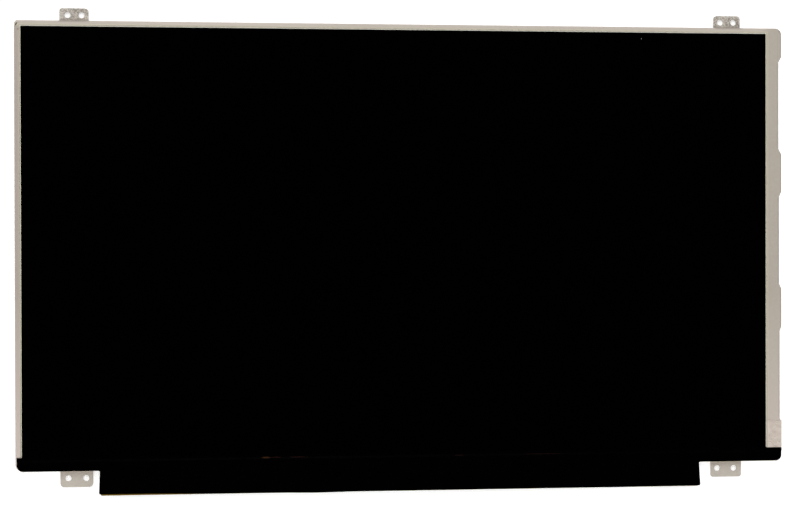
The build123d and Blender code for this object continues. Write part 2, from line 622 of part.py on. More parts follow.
with BuildPart() as light_bar_flex:
    with BuildSketch(Plane.XY.offset(LOWER_DIFFUSER_Z)):
        field(OPEN_LEFT + FLEX_END_GAP, OPEN_RIGHT - FLEX_END_GAP, FLEX_BOTTOM, FLEX_TOP)
    extrude(amount=FLEX_T)
    with BuildSketch(Plane.YZ.offset(TAIL_X - TAIL_WIDTH / 2)):
        strip_profile(
            [
                (BOTTOM - TAIL_REACH, BOARD_Z - FLEX_T),
                (BOTTOM - TAIL_REACH + TAIL_LAND, BOARD_Z - FLEX_T),
                (BOTTOM - TAIL_FLAT, LOWER_DIFFUSER_Z),
                (FLEX_TOP, LOWER_DIFFUSER_Z),
            ],
            FLEX_T,
        )
    extrude(amount=TAIL_WIDTH)
finish(light_bar_flex, "light_bar_flex")

# Driver board
with BuildPart() as driver_board:
    with BuildSketch(Plane.XY.offset(BOARD_Z)) as outline:
        field(BOARD_LEFT, BOARD_RIGHT, BOARD_BOTTOM, BOARD_TOP)
        fillet(outline.vertices().group_by(Axis.Y)[0], BOARD_CORNER)
    extrude(amount=BOARD_T)
    ends = (BOARD_LEFT + TOOLING_HOLE_INSET, BOARD_RIGHT - TOOLING_HOLE_INSET)
    with Locations(*[(x, PART_Y, FILTER_Z) for x in ends]):
        Hole(TOOLING_HOLE_RADIUS)
finish(driver_board, "driver_board")

# Driver films from the glass ledge to the board, each with a slim chip in the gap between them
FILM_X = {
    "left": BOARD_LEFT + FILM_END_INSET,
    "middle": (BOARD_LEFT + BOARD_RIGHT) / 2,
    "right": BOARD_RIGHT - FILM_END_INSET,
}
for place, x in FILM_X.items():
    with BuildPart() as film:
        with BuildSketch(Plane.XY.offset(FILTER_Z)):
            field(x - FILM_WIDTH / 2, x + FILM_WIDTH / 2, BOTTOM - FILM_LAND, ARRAY_BOTTOM + FILM_BOND)
        extrude(amount=FILM_T)
    finish(film, f"source_film_{place}")

with BuildPart() as source_driver_chips:
    with Locations(*[(x, (ARRAY_BOTTOM + BOARD_TOP) / 2, FILTER_Z) for x in FILM_X.values()]):
        Box(SOURCE_CHIP_LENGTH, SOURCE_CHIP_WIDTH, SOURCE_CHIP_T,
            align=(Align.CENTER, Align.CENTER, Align.MAX))
finish(source_driver_chips, "source_driver_chips")

# Black cover tape, one profile along the screen trimmed to the tape's outline
with BuildPart() as front_cover_tape:
    with BuildSketch(Plane.YZ.offset(LEFT)):
        strip_profile(
            [
                (BOARD_BOTTOM, LOW_Z),
                (DRAPE_FOOT, LOW_Z),
                (DRAPE_HEAD, FRONT_Z),
                (TAPE_TOP, FRONT_Z),
            ],
            TAPE_T,
        )
    extrude(amount=FRAME_WIDTH)
    with BuildSketch(Plane.XY.offset(LOW_Z)) as outline:
        tape_left = LEFT + TAPE_LEFT_INSET + COVER_FIT
        field(tape_left, RIGHT, BOTTOM, TAPE_TOP)
        fillet(outline.vertices().sort_by_distance((RIGHT, BOTTOM, 0))[0], CORNER_BOTTOM_RIGHT)
        left_end = outline.vertices().sort_by_distance((tape_left, BOTTOM, 0))[0]
        fillet(left_end, CORNER_BOTTOM_LEFT - TAPE_LEFT_INSET)
        flap_left = BOARD_LEFT - FLAP_OVERHANG
        flap_right = BOARD_RIGHT + FLAP_OVERHANG
        foot_left = (flap_left - FLAP_FLARE_LEFT, BOARD_BOTTOM + BOARD_SHOWN_LEFT)
        foot_right = (flap_right + FLAP_FLARE_RIGHT, BOARD_BOTTOM + BOARD_SHOWN_RIGHT)
        with BuildLine():
            Polyline((flap_left, OPEN_BOTTOM), foot_left, foot_right, (flap_right, OPEN_BOTTOM), close=True)
        make_face()
        for foot in (foot_left, foot_right):
            fillet(outline.vertices().sort_by_distance((*foot, 0))[0], FLAP_CORNER)
    extrude(amount=FRONT_Z + TAPE_T - LOW_Z, mode=Mode.INTERSECT)
finish(front_cover_tape, "front_cover_tape")

# Pale tape patch on the front of the right rail, just above the black tape
with BuildPart() as side_tape:
    with BuildSketch(Plane.XY.offset(FRONT_Z)):
        field(OPEN_RIGHT, RIGHT - FRONT_EDGE_RADIUS, TAPE_TOP, TAPE_TOP + PATCH_LENGTH)
    extrude(amount=PATCH_T)
finish(side_tape, "side_tape")

# Parts on the back of the board
board_chip("timing_controller", CONTROLLER_AT, CONTROLLER_SIZE, CONTROLLER_SIZE, CONTROLLER_T)
board_chip("power_converter", CONVERTER_AT, CONVERTER_SIZE, CONVERTER_SIZE, CHIP_T)
board_chip("backlight_driver", BACKLIGHT_DRIVER_AT, BACKLIGHT_DRIVER_SIZE, BACKLIGHT_DRIVER_SIZE, CHIP_T)
board_chip("memory_chip", MEMORY_AT, MEMORY_WIDTH, MEMORY_LENGTH, CHIP_T)

with BuildPart() as power_inductors:
    with BuildSketch(Plane.XY.offset(BOARD_Z - INDUCTOR_T)) as outline:
        with Locations(*[(BOARD_RIGHT - at, PART_Y) for at in (BACKLIGHT_INDUCTOR_AT, POWER_INDUCTOR_AT)]):
            Rectangle(INDUCTOR_SIZE, INDUCTOR_SIZE)
        chamfer(outline.vertices(), INDUCTOR_EDGE)
    extrude(amount=INDUCTOR_T)
finish(power_inductors, "power_inductors")

CAPACITOR_STATIONS = (BACKLIGHT_CAPACITORS_AT, POWER_CAPACITORS_AT, CONTROLLER_CAPACITORS_AT)
small_parts("chip_capacitors", CAPACITOR_STATIONS, CAPACITOR_LENGTH, CAPACITOR_WIDTH, CAPACITOR_T,
            CAPACITOR_PITCH_X, CAPACITOR_PITCH_Y, 2, 3)
RESISTOR_STATIONS = (NEAR_RESISTORS_AT, FAR_RESISTORS_AT)
small_parts("chip_resistors", RESISTOR_STATIONS, RESISTOR_LENGTH, RESISTOR_WIDTH, RESISTOR_T,
            RESISTOR_PITCH_X, RESISTOR_PITCH_Y, 3, 4)

# Cable socket at the right end of the board, its mouth towards the board's lower edge
SOCKET_X = BOARD_RIGHT - SOCKET_AT
SOCKET_MOUTH = BOARD_BOTTOM + SOCKET_EDGE_GAP
SOCKET_BACK = SOCKET_MOUTH + SOCKET_DEPTH
CONTACT_SPAN = (CONTACT_COUNT - 1) * CONTACT_PITCH
SOCKET_LENGTH = CONTACT_SPAN + 2 * SOCKET_END
CONTACT_TOP = BOARD_Z - SOCKET_WALL
with BuildPart() as signal_connector_housing:
    with Locations((SOCKET_X, SOCKET_MOUTH, BOARD_Z)):
        Box(SOCKET_LENGTH, SOCKET_DEPTH, SOCKET_T, align=(Align.CENTER, Align.MIN, Align.MAX))
    with Locations((SOCKET_X, SOCKET_MOUTH, CONTACT_TOP)):
        Box(CONTACT_SPAN + 2 * MOUTH_END, MOUTH_DEPTH, SOCKET_T - 2 * SOCKET_WALL,
            align=(Align.CENTER, Align.MIN, Align.MAX), mode=Mode.SUBTRACT)
    with Locations((SOCKET_X, SOCKET_MOUTH + MOUTH_DEPTH, CONTACT_TOP)):
        with GridLocations(CONTACT_PITCH, 0, CONTACT_COUNT, 1):
            Box(CONTACT_WIDTH + 2 * CONTACT_FIT, SOCKET_DEPTH - MOUTH_DEPTH, CONTACT_T + CONTACT_FIT,
                align=(Align.CENTER, Align.MIN, Align.MAX), mode=Mode.SUBTRACT)
finish(signal_connector_housing, "signal_connector_housing")

with BuildPart() as contact:
    with BuildSketch(Plane.YZ.offset(SOCKET_X - CONTACT_WIDTH / 2)):
        with BuildLine():
            Polyline(
                (SOCKET_MOUTH + CONTACT_INSET, CONTACT_TOP - CONTACT_T),
                (SOCKET_BACK + CONTACT_T, CONTACT_TOP - CONTACT_T),
                (SOCKET_BACK + CONTACT_T, BOARD_Z - CONTACT_T),
                (SOCKET_BACK + CONTACT_TAIL, BOARD_Z - CONTACT_T),
                (SOCKET_BACK + CONTACT_TAIL, BOARD_Z),
                (SOCKET_BACK, BOARD_Z),
                (SOCKET_BACK, CONTACT_TOP),
                (SOCKET_MOUTH + CONTACT_INSET, CONTACT_TOP),
                close=True,
            )
        make_face()
    extrude(amount=CONTACT_WIDTH)
with BuildPart() as signal_connector_contacts:
    with GridLocations(CONTACT_PITCH, 0, CONTACT_COUNT, 1):
        add(contact.part)
finish(signal_connector_contacts, "signal_connector_contacts")

with BuildPart() as signal_connector_shell:
    inner_length = SOCKET_LENGTH + 2 * SHELL_FIT
    with Locations((SOCKET_X, SOCKET_MOUTH, BOARD_Z)):
        Box(inner_length + 2 * SHELL_T, SHELL_DEPTH, SOCKET_T + SHELL_T,
            align=(Align.CENTER, Align.MIN, Align.MAX))
        Box(inner_length, SHELL_DEPTH, SOCKET_T, align=(Align.CENTER, Align.MIN, Align.MAX),
            mode=Mode.SUBTRACT)
finish(signal_connector_shell, "signal_connector_shell")
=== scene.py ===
"""Looks of a slim notebook screen panel that lies on its back with the display up.

X runs across the screen, Y towards its top edge and Z out of the display face. Sizes are held in
millimetres and become metres when a mesh is made, in the same frame as the solids.
"""

import logging
import math
from collections.abc import Sequence
from dataclasses import dataclass
from enum import Enum
from typing import ClassVar

import bpy
import numpy as np
from numpy.typing import NDArray
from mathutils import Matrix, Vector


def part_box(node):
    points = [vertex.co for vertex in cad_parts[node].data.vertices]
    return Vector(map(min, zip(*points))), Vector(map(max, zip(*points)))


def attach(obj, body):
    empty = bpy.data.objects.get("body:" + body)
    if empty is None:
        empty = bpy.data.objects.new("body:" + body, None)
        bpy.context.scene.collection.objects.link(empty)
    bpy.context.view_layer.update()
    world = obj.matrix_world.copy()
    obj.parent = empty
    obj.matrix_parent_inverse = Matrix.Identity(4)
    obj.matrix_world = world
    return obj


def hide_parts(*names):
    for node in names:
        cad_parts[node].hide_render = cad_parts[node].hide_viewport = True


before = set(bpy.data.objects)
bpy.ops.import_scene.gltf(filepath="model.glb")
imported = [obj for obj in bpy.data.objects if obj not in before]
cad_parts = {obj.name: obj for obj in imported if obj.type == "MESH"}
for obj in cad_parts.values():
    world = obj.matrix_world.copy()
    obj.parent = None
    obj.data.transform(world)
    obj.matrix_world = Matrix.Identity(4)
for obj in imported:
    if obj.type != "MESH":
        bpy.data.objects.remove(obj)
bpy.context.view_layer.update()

LOG = logging.getLogger("screen_panel")
MM = 0.001
BODY = "root"

Array = NDArray[np.float64]
Index = NDArray[np.int64]
Rgb = tuple[int, int, int]
Pair = tuple[float, float]
Triple = tuple[float, float, float]

# Edges of a new piece that bend by more degrees than this stay sharp
SHARP_ANGLE = 35.0
# Largest exponent of a smooth step, which keeps its exponential finite
STEEPEST = 60.0
# Slack that takes up rounding where numbers are compared
SLACK = 1e-9
# Turns of a copied surface: as it is, and face down
UPRIGHT = np.eye(3)
FACE_DOWN = np.diag([1.0, -1.0, -1.0])


def linear(rgb: Rgb) -> tuple[float, float, float, float]:
    """Turn a display colour of 0 to 255 into linear light with full opacity.

    Args:
        rgb: red, green and blue as a picture holds them.

    Returns:
        Linear red, green and blue, and an opacity of one.
    """
    share = np.asarray(rgb, float) / 255.0
    light = np.where(share <= 0.04045, share / 12.92, ((share + 0.055) / 1.055) ** 2.4)
    return (float(light[0]), float(light[1]), float(light[2]), 1.0)


def extent(node: str) -> tuple[Array, Array]:
    """Find the lowest and the highest corner of a solid, in millimetres."""
    low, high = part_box(node)
    return np.array(low) / MM, np.array(high) / MM


def step_up(value: Array, edge: float, soft: float) -> Array:
    """Rise smoothly from 0 below an edge to 1 above it: 1 / (1 + exp(-(value - edge) / soft))."""
    return 1.0 / (1.0 + np.exp(np.clip(-(value - edge) / soft, -STEEPEST, STEEPEST)))


def window(value: Array, span: Pair, soft: float) -> Array:
    """Give 1 inside a span and 0 outside it, as the product of two smooth steps."""
    return step_up(value, span[0], soft) * (1.0 - step_up(value, span[1], soft))


def stations(breaks: Sequence[float], steps: Sequence[float]) -> Array:
    """List numbers that meet every break, no further apart than each run's step.

    Args:
        breaks: rising numbers that have to be met.
        steps: largest step of each run between two breaks.

    Returns:
        The stations from the first break to the last.
    """
    runs = [
        np.linspace(low, high, int(np.ceil((high - low) / step - SLACK)) + 1)[:-1]
        for low, high, step in zip(breaks[:-1], breaks[1:], steps)
    ]
    return np.concatenate([*runs, np.array(breaks[-1:], float)])


@dataclass(frozen=True)
class Ramp:
    """A smooth rise to a height at an edge."""

    height: float
    edge: float
    soft: float

    def at(self, place: Array) -> Array:
        """Give height * step_up(place, edge, soft)."""
        return self.height * step_up(place, self.edge, self.soft)


@dataclass(frozen=True)
class Bell:
    """A bell curve round a middle."""

    height: float
    middle: float
    width: float

    def at(self, place: Array) -> Array:
        """Give height * exp(-((place - middle) / width)^2)."""
        return self.height * np.exp(-(((place - self.middle) / self.width) ** 2))


@dataclass(frozen=True)
class Wave:
    """A long wave over a plane, with its troughs at 0."""

    height: float
    across: float
    up: float
    phase: float = 0.0

    def at(self, x: Array, y: Array) -> Array:
        """Give height * (1 + sin(across * x + up * y + phase))."""
        return self.height * (1.0 + np.sin(self.across * x + self.up * y + self.phase))


@dataclass(frozen=True)
class Crease:
    """A family of narrow ridges that cross a tape at a slant, bent by a slow sine.

    Along, up and phase give the slant. The sway adds sway * sin(...) of its own slant to it.
    """

    height: float
    along: float
    up: float
    phase: float
    sway: float
    sway_along: float
    sway_up: float
    sway_phase: float
    power: int

    def at(self, along: Array, up: Array) -> Array:
        """Give height * (1 - |sin(slant + sway)|) ** power.

        Args:
            along: place along the tape.
            up: place up the tape.

        Returns:
            Heights from 0 upwards.
        """
        sway = self.sway * np.sin(self.sway_along * along + self.sway_up * up + self.sway_phase)
        slant = self.up * up + self.along * along + sway + self.phase
        return self.height * (1.0 - np.abs(np.sin(slant))) ** self.power


@dataclass
class Shell:
    """A closed surface: points in millimetres and blocks of faces that number their corners."""

    points: Array
    faces: list[Index]

    def copies(self, shifts: Array, turn: Array = UPRIGHT) -> "Shell":
        """Repeat the surface: each copy is turn times point plus its own shift.

        Args:
            shifts: one place for each copy.
            turn: 3 by 3 turn of every copy.

        Returns:
            All the copies as one surface.
        """
        points = self.points @ turn.T + shifts[:, None, :]
        first = (np.arange(len(shifts)) * len(self.points))[:, None, None]
        faces = [(block[None] + first).reshape(-1, block.shape[1]) for block in self.faces]
        return Shell(points.reshape(-1, 3), faces)


def joined(shells: Sequence[Shell]) -> Shell:
    """Put several surfaces into one.

    Args:
        shells: the surfaces.

    Returns:
        One surface with all their points and faces.
    """
    first = np.concatenate([[0], np.cumsum([len(shell.points) for shell in shells])[:-1]])
    faces = [block + start for shell, start in zip(shells, first) for block in shell.faces]
    return Shell(np.concatenate([shell.points for shell in shells]), faces)


def grid_cells(rows: int, columns: int) -> Index:
    """Number the corners of a grid's cells, each anticlockwise from its lower left one."""
    number = np.arange(rows * columns).reshape(rows, columns)
    return np.stack([number[:-1, :-1], number[:-1, 1:], number[1:, 1:], number[1:, :-1]], axis=-1)


def closed_sheet(upper: Array, lower: Array, keep: NDArray[np.bool_] | None = None) -> Shell:
    """Close two matching grids into a thin solid.

    The kept cells of the upper grid face up, the same cells of the lower grid face down, and every
    edge that belongs to one kept cell only gets a wall.

    Args:
        upper: grid of points, rows along Y and columns along X.
        lower: the grid below it.
        keep: the cells that are wanted, or none for all of them.

    Returns:
        The closed surface.
    """
    rows, columns = upper.shape[:2]
    total = rows * columns
    cells = grid_cells(rows, columns)
    cells = cells.reshape(-1, 4) if keep is None else cells[keep]
    edges = np.stack([cells, np.roll(cells, -1, axis=1)], axis=-1).reshape(-1, 2)
    rim = edges[~np.isin(edges[:, 0] * total + edges[:, 1], edges[:, 1] * total + edges[:, 0])]
    wall = np.stack([rim[:, 1], rim[:, 0], rim[:, 0] + total, rim[:, 1] + total], axis=-1)
    faces = np.concatenate([cells, cells[:, ::-1] + total, wall])
    used, faces = np.unique(faces, return_inverse=True)
    points = np.concatenate([upper.reshape(-1, 3), lower.reshape(-1, 3)])
    return Shell(points[used], [faces.reshape(-1, 4)])


def circle(around: int, start: float = 0.0) -> Array:
    """List points round a circle of radius 1, anticlockwise from a start angle."""
    angle = np.arange(around) * 2.0 * np.pi / around + start
    return np.stack([np.cos(angle), np.sin(angle)], axis=-1)


def closed_rings(outline: Array, half: Array, level: Array) -> Shell:
    """Stack copies of an outline upwards and close the stack with a fan on each end.

    Ring k is the outline times half[k], at the height level[k].

    Args:
        outline: X and Y of points that run round anticlockwise.
        half: half the width of each ring, the same or by X and Y.
        level: height of each ring.

    Returns:
        The closed surface.
    """
    count, around = len(level), len(outline)
    flat = outline[None] * half[:, None, :]
    height = np.broadcast_to(level[:, None, None], (count, around, 1))
    rings = np.concatenate([flat, height], axis=-1)
    number = np.arange(count * around).reshape(count, around)
    right = np.roll(number, -1, axis=1)
    sides = np.stack([number[:-1], right[:-1], right[1:], number[1:]], axis=-1).reshape(-1, 4)
    foot, head = count * around, count * around + 1
    ends = np.concatenate([
        np.stack([right[0], number[0], np.full(around, foot)], axis=-1),
        np.stack([number[-1], right[-1], np.full(around, head)], axis=-1),
    ])
    middles = np.stack([rings[0].mean(axis=0), rings[-1].mean(axis=0)])
    return Shell(np.concatenate([rings.reshape(-1, 3), middles]), [sides, ends])


def rounded_block(size: Triple, edge: float, around: int, square: float = 0.22,
                  draw: float = 0.7) -> Shell:
    """Make a block with eased edges that stands on Z = 0.

    Round the block runs x = a * sign(cos) * |cos| ** p and y = b * sign(sin) * |sin| ** p, which is
    nearly a rectangle for a small p. The end rings are drawn in by a share of the edge.

    Args:
        size: width, length and height.
        edge: how far the edges are eased.
        around: points of each ring.
        square: the power p.
        draw: share of the edge by which the end rings are drawn in.

    Returns:
        The closed surface.
    """
    spot = circle(around, np.pi / around)
    outline = np.sign(spot) * np.abs(spot) ** square
    level = np.array([0.0, edge, size[2] - edge, size[2]])
    inset = np.array([draw * edge, 0.0, 0.0, draw * edge])
    return closed_rings(outline, np.array(size[:2]) / 2.0 - inset[:, None], level)


def flat_grain(radius: float, height: float, around: int = 10, rings: int = 4,
               reach: float = 0.45) -> Shell:
    """Make a low rounded grain on Z = 0: rings of radius r * cos(t) at height h * sin(t).

    Args:
        radius: half its width.
        height: its height.
        around: points of each ring.
        rings: rings from its foot to its top.
        reach: end of t, in half turns.

    Returns:
        The closed surface.
    """
    rise = np.linspace(0.0, reach * np.pi, rings)
    return closed_rings(circle(around), (radius * np.cos(rise))[:, None], height * np.sin(rise))


def flat_ring(inner: float, outer: float, height: float, around: int = 14) -> Shell:
    """Make a low ring on Z = 0: a four-cornered profile carried once round the Z axis.

    Args:
        inner: radius of the hole.
        outer: radius of the rim.
        height: thickness of the ring.
        around: points round it.

    Returns:
        The closed surface.
    """
    profile = np.array([[outer, 0.0], [outer, height], [inner, height], [inner, 0.0]])
    flat = profile[:, None, :1] * circle(around)[None]
    level = np.broadcast_to(profile[:, None, 1:], (*flat.shape[:2], 1))
    points = np.concatenate([flat, level], axis=-1)
    number = np.arange(points.size // 3).reshape(flat.shape[:2])
    right, above = np.roll(number, -1, axis=1), np.roll(number, -1, axis=0)
    far = np.roll(right, -1, axis=0)
    faces = np.stack([number, right, far, above], axis=-1).reshape(-1, 4)
    return Shell(points.reshape(-1, 3), [faces])


def strip(path: Array, width: float, thickness: float) -> Shell:
    """Carry a flat rectangle along a path in the YZ plane.

    Each station is moved half the thickness to both sides along the path's normal, which is the
    gradient of the path turned by a quarter, and half the width to both sides along X.

    Args:
        path: stations as Y and Z.
        width: width along X.
        thickness: thickness across the path.

    Returns:
        The closed surface.
    """
    along = np.gradient(path, axis=0)
    along /= np.linalg.norm(along, axis=1, keepdims=True)
    normal = np.stack([-along[:, 1], along[:, 0]], axis=-1) * thickness / 2.0
    side = np.array([-width / 2.0, width / 2.0])
    grids = [
        np.concatenate([
            np.broadcast_to(side[None, :, None], (len(path), 2, 1)),
            np.broadcast_to((path + sign * normal)[:, None, :], (len(path), 2, 2)),
        ], axis=-1)
        for sign in (1.0, -1.0)
    ]
    return closed_sheet(*grids)


def ribbon(path: Array, width: float, low: float, high: float) -> Shell:
    """Carry a flat rectangle along a path in the XY plane, with mitred corners.

    At a corner the sideways step follows the mean of both runs, stretched by one over the cosine
    between that mean and a run.

    Args:
        path: stations as X and Y.
        width: width across the path.
        low: level of its lower face.
        high: level of its upper face.

    Returns:
        The closed surface.
    """
    runs = np.diff(path, axis=0)
    runs /= np.linalg.norm(runs, axis=1, keepdims=True)
    before, after = np.concatenate([runs[:1], runs]), np.concatenate([runs, runs[-1:]])
    along = before + after
    along /= np.linalg.norm(along, axis=1, keepdims=True)
    stretch = 1.0 / np.sum(along * before, axis=1, keepdims=True)
    across = np.stack([along[:, 1], -along[:, 0]], axis=-1) * stretch * width / 2.0
    flat = np.stack([path - across, path + across], axis=1)
    grids = [np.concatenate([flat, np.full((*flat.shape[:2], 1), z)], axis=-1) for z in (high, low)]
    return closed_sheet(*grids)


def dust(specks: Sequence[Triple], level: Array, flatness: float) -> Shell:
    """Lay a low grain of its own radius at each speck.

    Args:
        specks: X, Y and radius of each grain.
        level: level of the surface under each grain.
        flatness: height of a grain as a share of its radius.

    Returns:
        The grains as one surface.
    """
    return joined([
        flat_grain(radius, radius * flatness).copies(np.array([[x, y, z]]))
        for (x, y, radius), z in zip(specks, level)
    ])


def make_piece(name: str, shell: Shell, material: bpy.types.Material,
               replaces: Sequence[str] = ()) -> None:
    """Turn a surface into a piece of the panel that rides on its body.

    Args:
        name: name of the piece.
        shell: its surface.
        material: its finish.
        replaces: solids that it stands for.
    """
    mesh = bpy.data.meshes.new(name)
    faces = [face for block in shell.faces for face in block.tolist()]
    mesh.from_pydata((shell.points * MM).tolist(), [], faces)
    mesh.materials.append(material)
    mesh.shade_smooth()
    mesh.set_sharp_from_angle(angle=math.radians(SHARP_ANGLE))
    piece = bpy.data.objects.new(name, mesh)
    bpy.context.scene.collection.objects.link(piece)
    if replaces:
        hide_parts(*replaces)
    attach(piece, BODY)
    LOG.info("%s: %d points, %d faces", name, len(shell.points), len(faces))


class NodeSheet:
    """One node tree, with short calls for its nodes and links."""

    # Places of the colour sockets on a mix node
    MIX_FIRST, MIX_SECOND, MIX_RESULT = 6, 7, 2

    def __init__(self, tree: bpy.types.NodeTree) -> None:
        """Start on a tree."""
        self.tree = tree

    def add(self, kind: str, **settings: object) -> bpy.types.Node:
        """Add a node.

        Args:
            kind: type name of the node.
            settings: properties of the node and their values.

        Returns:
            The new node.
        """
        node = self.tree.nodes.new(kind)
        for name, value in settings.items():
            setattr(node, name, value)
        return node

    def link(self, source: bpy.types.NodeSocket, target: bpy.types.NodeSocket) -> None:
        """Join an output to an input."""
        self.tree.links.new(source, target)

    def feed(self, value: object, target: bpy.types.NodeSocket) -> None:
        """Give an input either a link or a plain value.

        Args:
            value: an output to link, or the value to set.
            target: the input.
        """
        if isinstance(value, bpy.types.NodeSocket):
            self.link(value, target)
        else:
            target.default_value = value

    def _work(self, node: bpy.types.Node, values: Sequence[object]) -> bpy.types.NodeSocket:
        """Feed a node's inputs in their order.

        Args:
            node: the node.
            values: sockets or plain values.

        Returns:
            Its first output.
        """
        for value, target in zip(values, node.inputs):
            self.feed(value, target)
        return node.outputs[0]

    def math(self, operation: str, *values: object, clamp: bool = False) -> bpy.types.NodeSocket:
        """Work out a number from one, two or three others, kept from 0 to 1 by the clamp."""
        return self._work(self.add("ShaderNodeMath", operation=operation, use_clamp=clamp), values)

    def vector(self, operation: str, *values: object) -> bpy.types.NodeSocket:
        """Work out a vector from one, two or three others."""
        return self._work(self.add("ShaderNodeVectorMath", operation=operation), values)

    def mix(self, share: object, first: object, second: object) -> bpy.types.NodeSocket:
        """Mix two colours.

        Args:
            share: how much of the second colour shows.
            first: colour or socket at a share of 0.
            second: colour or socket at a share of 1.

        Returns:
            The mixed colour.
        """
        node = self.add("ShaderNodeMix", data_type="RGBA")
        self.feed(share, node.inputs[0])
        self.feed(first, node.inputs[self.MIX_FIRST])
        self.feed(second, node.inputs[self.MIX_SECOND])
        return node.outputs[self.MIX_RESULT]


class Pattern(Enum):
    """Surface patterns that several finishes share."""

    GRAIN = "fine_grain"
    ROLLED = "rolled_grain"
    LINES = "parallel_lines"
    DOTS = "dot_field"


class PatternBook:
    """The shared node groups, each built once and placed with its own values."""

    SOCKETS = (("Vector", "NodeSocketVector"), ("Scale", "NodeSocketFloat"),
               ("Contrast", "NodeSocketFloat"))
    ZONE_SOCKETS = tuple((label, "NodeSocketVector") for label in ("Vector", "Low", "High", "Soft"))

    # Grain: detail of both noises, scale of the broad one, shares of both, and the stretch of rolled sheet
    FINE_DETAIL, BROAD_DETAIL = 3.0, 2.0
    BROAD_SCALE = 0.06
    FINE_SHARE, BROAD_SHARE = 0.7, 0.3
    EVEN, DRAWN_OUT = (1.0, 1.0, 1.0), (0.03, 1.0, 1.0)

    def __init__(self) -> None:
        """Build every pattern and the soft zone."""
        self.groups: dict[Pattern, bpy.types.NodeTree] = {
            Pattern.GRAIN: self._grain(Pattern.GRAIN, self.EVEN),
            Pattern.ROLLED: self._grain(Pattern.ROLLED, self.DRAWN_OUT),
            Pattern.LINES: self._lines(),
            Pattern.DOTS: self._dots(),
        }
        self.zone = self._zone()

    def _start(self, name: str, inputs: Sequence[tuple[str, str]],
               outputs: Sequence[str]) -> tuple[NodeSheet, bpy.types.Node, bpy.types.Node]:
        """Open a new group.

        Args:
            name: name of the group.
            inputs: names and types of its input sockets.
            outputs: names of its output sockets, all plain numbers.

        Returns:
            Its sheet, its input node and its output node.
        """
        tree = bpy.data.node_groups.new(name, "ShaderNodeTree")
        for label, kind in inputs:
            tree.interface.new_socket(name=label, in_out="INPUT", socket_type=kind)
        for label in outputs:
            tree.interface.new_socket(name=label, in_out="OUTPUT", socket_type="NodeSocketFloat")
        sheet = NodeSheet(tree)
        return sheet, sheet.add("NodeGroupInput"), sheet.add("NodeGroupOutput")

    def _open(self, pattern: Pattern) -> tuple[NodeSheet, bpy.types.Node, bpy.types.Node]:
        """Open the group of a pattern, with the sockets that all patterns have."""
        return self._start(pattern.value, self.SOCKETS, ("Mask", "Height"))

    def _close(self, sheet: NodeSheet, source: bpy.types.Node, target: bpy.types.Node,
               value: bpy.types.NodeSocket) -> bpy.types.NodeTree:
        """Put out a pattern's height and its mask, (height - 0.5) * contrast + 0.5.

        Args:
            sheet: sheet of the group.
            source: its input node.
            target: its output node.
            value: the pattern from 0 to 1.

        Returns:
            The finished group.
        """
        spread = sheet.math("SUBTRACT", value, 0.5)
        mask = sheet.math("MULTIPLY_ADD", spread, source.outputs["Contrast"], 0.5, clamp=True)
        sheet.link(mask, target.inputs["Mask"])
        sheet.link(value, target.inputs["Height"])
        return sheet.tree

    def _grain(self, pattern: Pattern, stretch: Triple) -> bpy.types.NodeTree:
        """Build a grain of fine noise over broad blotches, drawn out along X by a small stretch.

        Args:
            pattern: the pattern that it is.
            stretch: how fast the noise runs along each axis.

        Returns:
            The group.
        """
        sheet, source, target = self._open(pattern)
        place = sheet.vector("MULTIPLY", source.outputs["Vector"], stretch)
        fine = sheet.add("ShaderNodeTexNoise")
        broad = sheet.add("ShaderNodeTexNoise")
        fine.inputs["Detail"].default_value = self.FINE_DETAIL
        broad.inputs["Detail"].default_value = self.BROAD_DETAIL
        for node in (fine, broad):
            sheet.link(place, node.inputs["Vector"])
        scale = source.outputs["Scale"]
        sheet.link(scale, fine.inputs["Scale"])
        sheet.link(sheet.math("MULTIPLY", scale, self.BROAD_SCALE), broad.inputs["Scale"])
        low = sheet.math("MULTIPLY", broad.outputs[0], self.BROAD_SHARE)
        value = sheet.math("MULTIPLY_ADD", fine.outputs[0], self.FINE_SHARE, low)
        return self._close(sheet, source, target, value)

    def _lines(self) -> bpy.types.NodeTree:
        """Build lines that run along Y: a sine of X, sharpened by the contrast.

        Returns:
            The group.
        """
        sheet, source, target = self._open(Pattern.LINES)
        parts = sheet.add("ShaderNodeSeparateXYZ")
        sheet.link(source.outputs["Vector"], parts.inputs[0])
        turn = sheet.math("MULTIPLY", source.outputs["Scale"], 2.0 * math.pi)
        wave = sheet.math("SINE", sheet.math("MULTIPLY", parts.outputs[0], turn))
        value = sheet.math("MULTIPLY_ADD", wave, 0.5, 0.5)
        return self._close(sheet, source, target, value)

    def _dots(self) -> bpy.types.NodeTree:
        """Build a field of dots: one minus the distance to the nearest cell middle.

        Returns:
            The group.
        """
        sheet, source, target = self._open(Pattern.DOTS)
        cells = sheet.add("ShaderNodeTexVoronoi")
        for label in ("Vector", "Scale"):
            sheet.link(source.outputs[label], cells.inputs[label])
        value = sheet.math("SUBTRACT", 1.0, cells.outputs["Distance"], clamp=True)
        return self._close(sheet, source, target, value)

